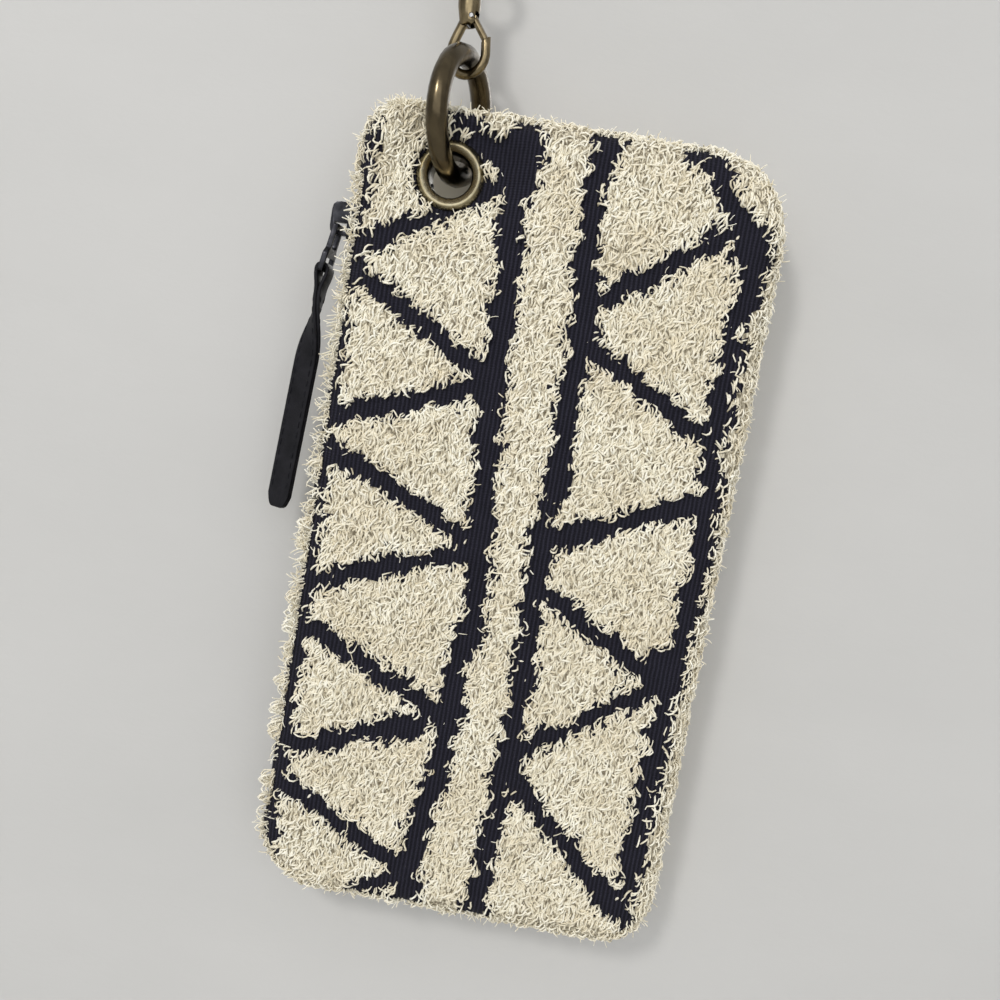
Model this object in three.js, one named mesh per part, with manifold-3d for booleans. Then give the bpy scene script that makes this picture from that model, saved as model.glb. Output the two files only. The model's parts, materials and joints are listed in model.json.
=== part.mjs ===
// A tufted cloth wristlet pouch, hung by a grommet in its corner from an O-ring and a swivel clasp.
// Millimetres, +Z up, the front faces -Y, and the origin is the middle of the clasp's strap eye.
import * as THREE from 'three';
import { mergeVertices } from 'three/addons/utils/BufferGeometryUtils.js';
import Module from 'manifold-3d';

// Clearance between touching pieces
const GAP = 0.3;

// Pouch cloth
const POUCH_WIDTH = 100;
const POUCH_LENGTH = 195;
const POUCH_THICKNESS = 16;
const TOP_RIGHT_RADIUS = 18;
const TOP_LEFT_RADIUS = 10;
const BOTTOM_LEFT_RADIUS = 16;
const BOTTOM_RIGHT_RADIUS = 12;
const EDGE_ROUND = 6;
const CROWN = 1;
const CLOTH = 1.2;
const LINING = 0.7;
const PILE = 2.5;
const RIM_PILE = 4;

// Grommet, and its place from the pouch's top left corner
const GROMMET_FROM_SIDE = 21.2;
const GROMMET_FROM_TOP = 14.4;
const GROMMET_BORE_RADIUS = 5.2;
const GROMMET_WALL = 0.6;
const GROMMET_RIM_RADIUS = 8.5;
const GROMMET_RIM_HEIGHT = 1.8;
const GROMMET_CURL = 0.7;
const WASHER_HEIGHT = 0.8;
const DIMPLE_RADIUS = 24;

// O-ring, how far it is turned about the vertical, and how far the clasp and ring lean off it
const RING_RADIUS = 13.85;
const RING_WIRE_RADIUS = 2.6;
const RING_TURN = 16;
const RING_LEAN = 2;
const CLASP_LEAN = 8;
const RING_DROP = 0.8;

// Clasp
const HOOK_WIRE_RADIUS = 1.2;
const HOOK_HALF_WIDTH = 4.5;
const HOOK_WIDEST_AT = 4.6;
const HOOK_NOSE_AT = 7.4;
const BARREL_BOTTOM = 11.2;
const BARREL_LENGTH = 13;
const BARREL_RADIUS = 2.7;
const BARREL_TAPER = 0.5;
const BARREL_SHOULDER = 4.5;
const GATE_THICKNESS = 1.7;
const GATE_DEPTH = 2;
const GATE_PIN_RADIUS = 0.5;
const GATE_PIN_IN = 1.3;
const GATE_PIN_UP = 1.8;
const SPRING_THICKNESS = 0.3;
const POST_RADIUS = 1.1;
const POST_HEAD_RADIUS = 1.7;
const POST_HEAD_HEIGHT = 1;
const BRIDGE_HEIGHT = 2.6;
const WINDOW_HEIGHT = 2.4;
const COLLAR_RADIUS = 2.4;
const COLLAR_HEIGHT = 1.2;
const EYE_RADIUS = 5.2;
const EYE_WIRE_RADIUS = 1.15;

// Zip
const ZIP_FROM_TOP = 20;
const ZIP_FROM_BOTTOM = 15;
const TAPE = 0.5;
const TAPE_MARGIN = 3;
const TAPE_PARTING = 1.3;
const TAPE_RAISE = 1.8;
const TOOTH_PITCH = 3;
const TOOTH_WIDTH = 1.2;
const TOOTH_HEIGHT = 1.2;
const TOOTH_REACH = 0.9;
const TEETH_HALF_WIDTH = 2.2;
const STOP_LENGTH = 2.4;
const SLIDER_LENGTH = 10;
const SLIDER_WIDTH = 7;
const SLIDER_NOSE_WIDTH = 6;
const SLIDER_PLATE = 1;
const DIAMOND_WIDTH = 2;
const SLIDER_BRIDGE_WIDTH = 2.4;
const SLIDER_BRIDGE_STOCK = 1;
const SLIDER_BRIDGE_OPEN = 3.6;

// Puller and leather tab
const PULLER_BAR = 1.2;
const PULLER_WIDTH = 6.8;
const PULLER_LENGTH = 12;
const PULLER_SIDE = 1.1;
const TAB_WIDTH = 6.5;
const TAB_SLOT_WIDTH = 7.4;
const TAB_THICKNESS = 1.8;
const TAB_LENGTH = 55;
const TAB_TIP = 5;
const TAB_TWIST = 65;
const TAB_TWIST_RUN = 18;
const PULLER_LEAN = 10;
const TAB_LEAN = 3;

// Navy lines of the cloth, in millimetres right of and below its top left corner
const LINE_WIDTH = 4.4;
const CENTRE_LINE_WIDTH = 5.6;
const LEFT_BORDER = 3;
const LEFT_BORDER_WIDTH = 7;
const RIGHT_BORDER = 4;
const RIGHT_BORDER_WIDTH = 5;
const CENTRE_LEFT = [[37.5, -4], [38, 22], [40.5, 68], [45, 119], [42, 160], [39.5, 199]];
const CENTRE_RIGHT = [[57, -4], [55.5, 15], [59, 50], [58, 100], [59, 154], [57, 199]];
const LEFT_ZIGZAG = [[20, -1], [38.5, 12.5], [2, 38.5], [40, 61.5], [0, 78.5], [43, 101], [0, 121],
  [42, 143.5], [0, 162.5], [39, 185], [24, 195]];
const RIGHT_ZIGZAG = [[77, -1], [97, 18], [57, 44], [97, 73.5], [57, 102], [93, 126.5], [57, 152], [93, 186]];

// Facets
const WIRE_SIDES = 8;
const EYE_STEPS = 24;
const RING_SIDES = 10;
const RING_STEPS = 36;
const LATHE_STEPS = 24;
const HOOK_STEPS = 24;
const CORNER_STEPS = 3;
const EDGE_STEPS = 3;
const FACE_STEPS = 2;
const SHORT_RUNS = 3;
const LONG_RUNS = 5;
const FACE_CORE = 10;
const LEAST_CORNER = 1.5;
const DIMPLE_STEPS = 4;
const DIMPLE_SIDES = 20;
const TAB_STEPS = 20;
const SOFT_STEPS = 3;

const wasm = await Module();
wasm.setup();

const radians = THREE.MathUtils.degToRad;
const FAR = POUCH_LENGTH + POUCH_WIDTH;

// Turns a closed geometry into a solid that can be joined and cut
function solid(geometry) {
  const bare = geometry.clone();
  bare.deleteAttribute('normal');
  bare.deleteAttribute('uv');
  const merged = mergeVertices(bare, 1e-4);
  return new wasm.Manifold(new wasm.Mesh({
    numProp: 3,
    vertProperties: new Float32Array(merged.attributes.position.array),
    triVerts: new Uint32Array(merged.index.array),
  }));
}

// Turns a solid back into a geometry
function geometryOf(body) {
  const mesh = body.getMesh();
  const geometry = new THREE.BufferGeometry();
  geometry.setAttribute('position', new THREE.BufferAttribute(new Float32Array(mesh.vertProperties), 3));
  geometry.setIndex(new THREE.BufferAttribute(new Uint32Array(mesh.triVerts), 1));
  return geometry;
}

// The same geometry on the pouch's other face
function onBack(geometry) {
  const mirrored = geometry.clone().scale(1, -1, 1);
  const index = mirrored.index.array;
  for (let i = 0; i < index.length; i += 3) {
    [index[i], index[i + 1]] = [index[i + 1], index[i]];
  }
  mirrored.computeVertexNormals();
  return mirrored;
}

// A box between two corners
function box(x0, x1, y0, y1, z0, z1) {
  const geometry = new THREE.BoxGeometry(x1 - x0, y1 - y0, z1 - z0);
  geometry.translate((x0 + x1) / 2, (y0 + y1) / 2, (z0 + z1) / 2);
  return solid(geometry);
}

// A polygon of the XZ plane, extruded evenly to both sides of it
function profileXZ(points, depth) {
  const shape = new THREE.Shape(points.map(([x, z]) => new THREE.Vector2(x, z)));
  const geometry = new THREE.ExtrudeGeometry(shape, { depth, bevelEnabled: false });
  geometry.translate(0, 0, -depth / 2);
  geometry.rotateX(Math.PI / 2);
  return solid(geometry);
}

// A polygon of the YZ plane, extruded from x0 to x1
function profileYZ(points, x0, x1) {
  const shape = new THREE.Shape(points.map(([y, z]) => new THREE.Vector2(y, z)));
  const geometry = new THREE.ExtrudeGeometry(shape, { depth: x1 - x0, bevelEnabled: false });
  geometry.rotateX(Math.PI / 2);
  geometry.rotateZ(Math.PI / 2);
  geometry.translate(x0, 0, 0);
  return solid(geometry);
}

// A polygon with its corners rounded off, each from a given distance before and after it
function softened(points, cut) {
  const corners = points.map(([a, b]) => new THREE.Vector2(a, b));
  const toward = (from, to) => from.clone().add(to.clone().sub(from).setLength(cut));
  return corners.flatMap((corner, i) => {
    const before = corners[(i + corners.length - 1) % corners.length];
    const after = corners[(i + 1) % corners.length];
    const curve = new THREE.QuadraticBezierCurve(toward(corner, before), corner, toward(corner, after));
    return curve.getPoints(SOFT_STEPS).map((point) => point.toArray());
  });
}

// A closed profile of [radius, height] points turned about the Y axis, or about the Z axis
function turnedAboutY(profile, steps = LATHE_STEPS) {
  const points = profile.map(([radius, height]) => new THREE.Vector2(radius, height));
  return solid(new THREE.LatheGeometry(points, steps));
}

function turnedAboutZ(profile, steps = LATHE_STEPS) {
  const points = profile.map(([radius, height]) => new THREE.Vector2(radius, height));
  return solid(new THREE.LatheGeometry(points, steps).rotateX(Math.PI / 2));
}

// A round bar along the Y axis
function barAlongY(radius, length, x, z, sides = WIRE_SIDES) {
  const geometry = new THREE.CylinderGeometry(radius, radius, length, sides);
  geometry.translate(x, 0, z);
  return solid(geometry);
}

// Places measured from the grommet's middle, which is the pouch group's own origin
const left = -GROMMET_FROM_SIDE;
const right = left + POUCH_WIDTH;
const top = GROMMET_FROM_TOP;
const bottom = top - POUCH_LENGTH;
const middleX = (left + right) / 2;
const middleZ = (top + bottom) / 2;

// Layers of the pouch wall, by their depth under the face of the cloth
const tapeDepth = CLOTH + GAP;
const liningDepth = tapeDepth + TAPE + GAP;
const seatLevel = liningDepth + LINING + GAP / 2;
const faceLevel = POUCH_THICKNESS / 2 + CROWN;
const seatRadius = GROMMET_RIM_RADIUS + 2 * GAP;

// The cloth's corners, anticlockwise from the top right as seen from the front
const corners = [
  [1, 1, TOP_RIGHT_RADIUS], [-1, 1, TOP_LEFT_RADIUS], [-1, -1, BOTTOM_LEFT_RADIUS], [1, -1, BOTTOM_RIGHT_RADIUS],
];

// One ring of the cloth's rounded outline, with the same count of points at any depth under it
function roundedRing(halfWidth, halfLength, under) {
  const arcs = corners.map(([sideX, sideZ, outerRadius], quarter) => {
    const radius = Math.max(outerRadius - under, LEAST_CORNER);
    const arc = [];
    for (let step = 0; step <= CORNER_STEPS; step += 1) {
      const angle = (quarter + step / CORNER_STEPS) * Math.PI / 2;
      arc.push([
        sideX * (halfWidth - radius) + radius * Math.cos(angle),
        sideZ * (halfLength - radius) + radius * Math.sin(angle),
      ]);
    }
    return arc;
  });
  const points = [];
  arcs.forEach((arc, quarter) => {
    points.push(...arc);
    const from = arc[CORNER_STEPS];
    const to = arcs[(quarter + 1) % 4][0];
    const runs = quarter % 2 === 0 ? SHORT_RUNS : LONG_RUNS;
    for (let run = 1; run < runs; run += 1) {
      points.push([
        THREE.MathUtils.lerp(from[0], to[0], run / runs),
        THREE.MathUtils.lerp(from[1], to[1], run / runs),
      ]);
    }
  });
  return points;
}

// Half of the pouch's loft: rings from the seam in towards the middle of a face
function loftRings(depth) {
  const halfWidth = POUCH_WIDTH / 2 - depth;
  const halfLength = POUCH_LENGTH / 2 - depth;
  const round = EDGE_ROUND - depth;
  const thickness = POUCH_THICKNESS / 2 - depth;
  const steps = [];
  for (let step = 0; step <= EDGE_STEPS; step += 1) {
    const angle = (step / EDGE_STEPS) * Math.PI / 2;
    steps.push([round * (1 - Math.cos(angle)), thickness * Math.sin(angle)]);
  }
  for (let step = 1; step <= FACE_STEPS; step += 1) {
    const inset = THREE.MathUtils.lerp(round, halfWidth - FACE_CORE, step / FACE_STEPS);
    steps.push([inset, thickness]);
  }
  return steps.map(([inset, height]) => {
    return roundedRing(halfWidth - inset, halfLength - inset, depth + inset).map(([x, z]) => {
      const swell = CROWN * (1 - (x / halfWidth) ** 2) * (1 - (z / halfLength) ** 2);
      return [x, height + swell, z];
    });
  });
}

// The whole pillow that lies at a depth under the face of the cloth, with no dimple yet
function pillow(depth) {
  const rings = loftRings(depth);
  const onFace = (side) => rings.map((ring) => ring.map(([x, y, z]) => [x, side * y, z]));
  const sections = [...onFace(-1).reverse(), ...onFace(1).slice(1)];
  const count = sections[0].length;
  const height = POUCH_THICKNESS / 2 - depth + CROWN;
  const positions = [...sections.flat(), [0, -height, 0], [0, height, 0]];
  const frontHub = positions.length - 2;
  const backHub = positions.length - 1;
  const triangles = [];
  const lastStart = (sections.length - 1) * count;
  for (let i = 0; i < count; i += 1) {
    const next = (i + 1) % count;
    for (let section = 0; section + 1 < sections.length; section += 1) {
      const here = section * count;
      const there = here + count;
      triangles.push(here + i, there + i, there + next, here + i, there + next, here + next);
    }
    triangles.push(frontHub, i, next, backHub, lastStart + next, lastStart + i);
  }
  const geometry = new THREE.BufferGeometry();
  geometry.setAttribute('position', new THREE.Float32BufferAttribute(positions.flat(), 3));
  geometry.setIndex(triangles);
  geometry.translate(middleX, 0, middleZ);
  return solid(geometry);
}

// What the grommet presses out of the front face: a flat seat with a soft slope round it
function dimple(depth) {
  const outside = faceLevel + PILE + 2 * GAP;
  const profile = [[0, -outside], [DIMPLE_RADIUS, -outside]];
  for (let step = DIMPLE_STEPS; step >= 0; step -= 1) {
    const share = step / DIMPLE_STEPS;
    const rise = (1 - Math.cos(Math.PI * share)) / 2;
    profile.push([
      THREE.MathUtils.lerp(seatRadius, DIMPLE_RADIUS, share),
      depth - THREE.MathUtils.lerp(seatLevel, faceLevel, rise),
    ]);
  }
  profile.push([0, depth - seatLevel]);
  return turnedAboutY(profile, DIMPLE_SIDES);
}

const frontHalf = box(-FAR, FAR, -FAR, -GAP / 2, -FAR, FAR);

// The front half of the layer between two depths
function frontLayer(outerDepth, innerDepth) {
  return pillow(outerDepth).subtract(dimple(outerDepth))
    .subtract(pillow(innerDepth).subtract(dimple(innerDepth)))
    .intersect(frontHalf);
}

// Zip places: the tape leaves the cloth at the edge of the mouth, and its free part stands out from there
const mouthHalf = SLIDER_WIDTH / 2 + TAPE + 2 * GAP;
const mouthTop = top - ZIP_FROM_TOP;
const mouthBottom = bottom + ZIP_FROM_BOTTOM;
const tapeMiddle = tapeDepth + TAPE / 2;
const tapeRise = mouthHalf / (POUCH_THICKNESS / 2 - tapeMiddle);
const sewnX = left + tapeMiddle + (EDGE_ROUND - tapeMiddle) * (1 - Math.sqrt(1 - tapeRise ** 2));
const sewnInner = sewnX + TAPE / 2;
const tapeX = sewnX - TAPE_RAISE;
const tapeOuter = tapeX - TAPE / 2;
const tapeInner = tapeX + TAPE / 2;
const teethInner = tapeOuter - GAP;
const teethOuter = teethInner - TOOTH_HEIGHT;
const plateInner = teethOuter - GAP;
const plateOuter = plateInner - SLIDER_PLATE;
const sliderTop = mouthTop - STOP_LENGTH - 2 * GAP;
const sliderBottom = sliderTop - SLIDER_LENGTH;
const leafTop = sliderBottom - 2 * GAP;
const bottomStopTop = mouthBottom + STOP_LENGTH + GAP;
const leafBottom = bottomStopTop + SLIDER_LENGTH + 3 * GAP;
const leafEdge = mouthHalf - GAP;

const mouth = box(left - FAR, left + EDGE_ROUND, -mouthHalf, mouthHalf, mouthBottom, mouthTop);

const grommetOuter = GROMMET_BORE_RADIUS + GROMMET_WALL;

// A round hole through the pouch for the grommet
function grommetHole(radius) {
  return turnedAboutY([[0, -FAR], [radius, -FAR], [radius, FAR], [0, FAR]]);
}

// A straight navy line between two places on the cloth, as a bar through the pile in front of the rim
function band([x0, down0], [x1, down1], width) {
  const length = Math.hypot(x1 - x0, down1 - down0) + width / 2;
  const geometry = new THREE.BoxGeometry(length, POUCH_THICKNESS, width);
  geometry.rotateY(Math.atan2(down1 - down0, x1 - x0));
  geometry.translate(left + (x0 + x1) / 2, -RIM_PILE - POUCH_THICKNESS / 2, top - (down0 + down1) / 2);
  return solid(geometry);
}

// All the navy lines together
function navyLines() {
  const borderAt = (x) => [[x, -PILE], [x, POUCH_LENGTH + PILE]];
  const runs = [
    [borderAt(LEFT_BORDER), LEFT_BORDER_WIDTH],
    [borderAt(POUCH_WIDTH - RIGHT_BORDER), RIGHT_BORDER_WIDTH],
    [CENTRE_LEFT, CENTRE_LINE_WIDTH],
    [CENTRE_RIGHT, CENTRE_LINE_WIDTH],
    [LEFT_ZIGZAG, LINE_WIDTH],
    [RIGHT_ZIGZAG, LINE_WIDTH],
  ];
  const bands = runs.flatMap(([points, width]) => (
    points.slice(1).map((point, i) => band(points[i], point, width))
  ));
  return bands.reduce((all, next) => all.add(next));
}

// The front panel: the cloth, and the raised tufted fields between the navy lines
function panelGeometry() {
  const cloth = frontLayer(0, CLOTH);
  const zipClear = mouthHalf + 2 * TOOTH_HEIGHT;
  const fields = frontLayer(-PILE, CLOTH / 2)
    .subtract(navyLines())
    .subtract(grommetHole(seatRadius))
    .subtract(box(left - FAR, left + EDGE_ROUND, -zipClear, zipClear, mouthBottom - PILE, mouthTop + PILE));
  return geometryOf(cloth.add(fields).subtract(mouth).subtract(grommetHole(grommetOuter + GAP)));
}

// The front lining, a dish that follows the cloth
function liningGeometry() {
  const lining = frontLayer(liningDepth, liningDepth + LINING);
  return geometryOf(lining.subtract(mouth).subtract(grommetHole(grommetOuter + GAP)));
}

// The tape that is sewn inside the edge of the cloth and stands up in the mouth, with a flat part at each end
function tapeGeometry() {
  const margin = frontLayer(tapeDepth, tapeDepth + TAPE).intersect(
    box(left - GAP, left + EDGE_ROUND, -mouthHalf - TAPE_MARGIN, -mouthHalf, mouthBottom, mouthTop),
  );
  const low = mouthBottom + GAP;
  const high = mouthTop - GAP;
  const riser = -leafEdge + TAPE;
  const foot = box(sewnX - TAPE / 2, sewnInner, -mouthHalf - GAP / 2, riser, low, high)
    .add(box(tapeInner + GAP, sewnInner, -leafEdge, riser, low, high));
  const ends = [[leafTop + GAP, high], [low, leafBottom - GAP]].map(([from, to]) => (
    box(tapeOuter, tapeInner, -leafEdge, -TAPE_PARTING, from, to)
      .add(box(tapeOuter, sewnInner, -leafEdge, riser, from, to))
  ));
  return geometryOf(margin.add(foot).add(ends[0]).add(ends[1]));
}

// The free tape between those ends
function leafGeometry() {
  return geometryOf(box(tapeOuter, tapeInner, -leafEdge, -TAPE_PARTING, leafBottom, leafTop));
}

// A row of teeth from a low to a high place, as a comb whose teeth start at a given phase of the pitch
function teethGeometry(low, high, phase) {
  const root = -TOOTH_REACH - GAP;
  const points = [[-TEETH_HALF_WIDTH, high], [-TEETH_HALF_WIDTH, low], [root, low]];
  const first = Math.ceil((low - phase) / TOOTH_PITCH);
  for (let z = phase + first * TOOTH_PITCH; z + TOOTH_WIDTH < high; z += TOOTH_PITCH) {
    if (z > low) {
      points.push([root, z], [TOOTH_REACH, z], [TOOTH_REACH, z + TOOTH_WIDTH], [root, z + TOOTH_WIDTH]);
    }
  }
  points.push([root, high]);
  return geometryOf(profileYZ(points, teethOuter, teethInner));
}

// A small crimped stop on the outer side of the tape
function stopGeometry(y0, y1, low) {
  return geometryOf(box(teethOuter, teethInner, y0, y1, low, low + STOP_LENGTH));
}

// The grommet's front half: a barrel with a rolled rim, curled over at the back
function grommetGeometry() {
  const seat = -seatLevel - GAP;
  const crest = seat - GROMMET_RIM_HEIGHT;
  const curl = WASHER_HEIGHT + GAP - seat;
  const middle = (GROMMET_BORE_RADIUS + GROMMET_RIM_RADIUS) / 2;
  return geometryOf(turnedAboutY([
    [GROMMET_BORE_RADIUS, seat],
    [GROMMET_BORE_RADIUS + GROMMET_WALL, crest + GROMMET_WALL],
    [middle, crest],
    [GROMMET_RIM_RADIUS - GROMMET_WALL, crest + GROMMET_WALL],
    [GROMMET_RIM_RADIUS, seat],
    [grommetOuter, seat],
    [grommetOuter, curl],
    [grommetOuter + GROMMET_CURL, curl],
    [grommetOuter + GROMMET_CURL, curl + GROMMET_WALL],
    [grommetOuter, curl + GROMMET_WALL],
    [GROMMET_BORE_RADIUS, curl],
    [GROMMET_BORE_RADIUS, seat],
  ]));
}

// The washer that the barrel is curled over
function washerGeometry() {
  const seat = seatLevel + GAP;
  const crest = seat + WASHER_HEIGHT;
  const inner = grommetOuter + GAP;
  return geometryOf(turnedAboutY([
    [inner, seat],
    [GROMMET_RIM_RADIUS, seat],
    [GROMMET_RIM_RADIUS, crest - WASHER_HEIGHT / 2],
    [GROMMET_RIM_RADIUS - GROMMET_WALL, crest],
    [inner, crest],
    [inner, seat],
  ]));
}

// Slider: two plates with lips along their sides, a diamond between them and a humped bridge on the outside
const bridgeInner = plateOuter - SLIDER_BRIDGE_OPEN;
const bridgeOuter = bridgeInner - SLIDER_BRIDGE_STOCK;
const bridgeLow = sliderBottom + SLIDER_BRIDGE_STOCK;
const bridgeHigh = sliderTop - SLIDER_BRIDGE_STOCK;

function sliderGeometry() {
  const shoulder = SLIDER_WIDTH / 2;
  const nose = SLIDER_NOSE_WIDTH / 2;
  const outline = softened([
    [-nose, sliderBottom], [nose, sliderBottom], [shoulder, (sliderTop + sliderBottom) / 2],
    [shoulder, sliderTop], [-shoulder, sliderTop], [-shoulder, (sliderTop + sliderBottom) / 2],
  ], 2 * SLIDER_PLATE);
  const insideX = tapeInner + GAP;
  const outerPlate = profileYZ(outline, plateOuter, plateInner);
  const innerPlate = profileYZ(outline, insideX, insideX + SLIDER_PLATE);
  const diamond = box(plateInner - GAP, insideX + GAP, -DIAMOND_WIDTH / 2, DIAMOND_WIDTH / 2,
    sliderTop - DIAMOND_WIDTH, sliderTop);
  const lipInner = TEETH_HALF_WIDTH + GAP;
  const lips = profileYZ(outline, plateInner - GAP, tapeOuter - GAP)
    .subtract(box(left - FAR, right, -lipInner, lipInner, bottom, top));
  const slotLow = bridgeLow + SLIDER_BRIDGE_STOCK;
  const arch = profileXZ(softened([
    [insideX, bridgeLow], [bridgeOuter, bridgeLow], [bridgeOuter, bridgeHigh], [insideX, bridgeHigh],
  ], 2 * SLIDER_BRIDGE_STOCK), SLIDER_BRIDGE_WIDTH)
    .intersect(box(-FAR, plateInner - GAP, -FAR, FAR, -FAR, FAR))
    .subtract(box(bridgeInner, plateOuter, -FAR, FAR, slotLow, slotLow + PULLER_BAR + 3 * GAP));
  return geometryOf(outerPlate.add(innerPlate).add(diamond).add(lips).add(arch));
}

// Puller: a flat loop, about the middle of the top bar that lies under the slider's bridge
const barX = bridgeInner + GAP + PULLER_BAR / 2;
const barZ = bridgeLow + SLIDER_BRIDGE_STOCK + GAP + PULLER_BAR / 2;
const pullerTop = PULLER_BAR / 2;
const pullerBottom = pullerTop - PULLER_LENGTH;

function pullerGeometry() {
  const half = PULLER_WIDTH / 2;
  const windowHalf = half - PULLER_SIDE;
  const slotLow = pullerBottom + PULLER_BAR;
  const slotHigh = slotLow + TAB_THICKNESS + 2 * GAP;
  const slotHalf = TAB_SLOT_WIDTH / 2;
  const foot = slotHalf + PULLER_SIDE;
  const waist = slotHigh + 2 * PULLER_SIDE;
  const plate = profileYZ(softened([
    [-foot, pullerBottom], [foot, pullerBottom], [foot, slotHigh + PULLER_SIDE], [half, waist],
    [half, pullerTop], [-half, pullerTop], [-half, waist], [-foot, slotHigh + PULLER_SIDE],
  ], PULLER_SIDE / 2), -PULLER_BAR / 2, PULLER_BAR / 2);
  const window = profileYZ(softened([
    [-windowHalf, waist], [windowHalf, waist], [windowHalf, pullerTop - PULLER_BAR],
    [-windowHalf, pullerTop - PULLER_BAR],
  ], PULLER_SIDE), -PULLER_BAR, PULLER_BAR);
  const slot = box(-FAR, FAR, -slotHalf, slotHalf, slotLow, slotHigh);
  return geometryOf(plate.subtract(window).subtract(slot));
}

// Leather tab, about the puller's lower bar: folded round it, then one strip that turns as it hangs
const tabDrop = pullerBottom + PULLER_BAR / 2;

function tabGeometry() {
  const skin = TAB_THICKNESS / 2;
  const hole = PULLER_BAR / 2 + GAP;
  const reach = hole + skin;
  const neck = -3 * reach;
  const fold = profileXZ([
    [-skin, neck], [skin, neck], [reach, -hole], [reach, hole],
    [hole, reach], [-hole, reach], [-reach, hole], [-reach, -hole],
  ], TAB_WIDTH).subtract(box(-hole, hole, -FAR, FAR, -hole, hole));
  const strip = new THREE.BoxGeometry(TAB_THICKNESS, TAB_WIDTH, TAB_LENGTH, 1, 2, TAB_STEPS);
  const position = strip.attributes.position;
  for (let i = 0; i < position.count; i += 1) {
    const fromTop = TAB_LENGTH / 2 - position.getZ(i);
    const intoTip = Math.max(fromTop - (TAB_LENGTH - TAB_TIP), 0) / TAB_TIP;
    const narrow = 1 - intoTip ** 2 / 2;
    const twist = radians(TAB_TWIST) * THREE.MathUtils.smoothstep(fromTop, 0, TAB_TWIST_RUN);
    const x = position.getX(i);
    const y = position.getY(i) * narrow;
    position.setX(i, x * Math.cos(twist) - y * Math.sin(twist));
    position.setY(i, x * Math.sin(twist) + y * Math.cos(twist));
  }
  strip.translate(0, 0, neck + GAP - TAB_LENGTH / 2);
  return geometryOf(fold.add(solid(strip)));
}

// Clasp heights, counted up from the middle of the hook's lowest wire
const barrelTop = BARREL_BOTTOM + BARREL_LENGTH;
const boreRadius = POST_RADIUS + GAP;
const windowTop = barrelTop - BRIDGE_HEIGHT;
const windowBottom = windowTop - WINDOW_HEIGHT;
const collarBottom = barrelTop + GAP;
const eyeHeight = collarBottom + COLLAR_HEIGHT + EYE_RADIUS;
const gatePinX = GATE_PIN_IN;
const gatePinZ = BARREL_BOTTOM + GATE_PIN_UP;
const gateKnuckle = GATE_THICKNESS / 2;
const gateReach = Math.hypot(HOOK_HALF_WIDTH - gatePinX, gatePinZ - HOOK_NOSE_AT);
const gateSlotHalf = GATE_DEPTH / 2 + GAP;

// The hook's wire, from inside the barrel round to the end of its nose
function hookPath() {
  const handle = HOOK_HALF_WIDTH * 0.55;
  const drop = HOOK_WIDEST_AT * 0.55;
  const at = (x, z) => new THREE.Vector3(x, 0, z);
  const path = new THREE.CurvePath();
  path.add(new THREE.CubicBezierCurve3(
    at(-HOOK_WIRE_RADIUS, BARREL_BOTTOM + HOOK_WIRE_RADIUS),
    at(-2 * HOOK_WIRE_RADIUS, BARREL_BOTTOM - HOOK_WIRE_RADIUS),
    at(-HOOK_HALF_WIDTH, HOOK_WIDEST_AT + drop),
    at(-HOOK_HALF_WIDTH, HOOK_WIDEST_AT),
  ));
  path.add(new THREE.CubicBezierCurve3(
    at(-HOOK_HALF_WIDTH, HOOK_WIDEST_AT), at(-HOOK_HALF_WIDTH, HOOK_WIDEST_AT - drop),
    at(-handle, 0), at(0, 0),
  ));
  path.add(new THREE.CubicBezierCurve3(
    at(0, 0), at(handle, 0),
    at(HOOK_HALF_WIDTH, HOOK_WIDEST_AT - drop), at(HOOK_HALF_WIDTH, HOOK_WIDEST_AT),
  ));
  path.add(new THREE.LineCurve3(
    at(HOOK_HALF_WIDTH, HOOK_WIDEST_AT), at(HOOK_HALF_WIDTH, HOOK_NOSE_AT + 2 * HOOK_WIRE_RADIUS),
  ));
  return path;
}

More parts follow.
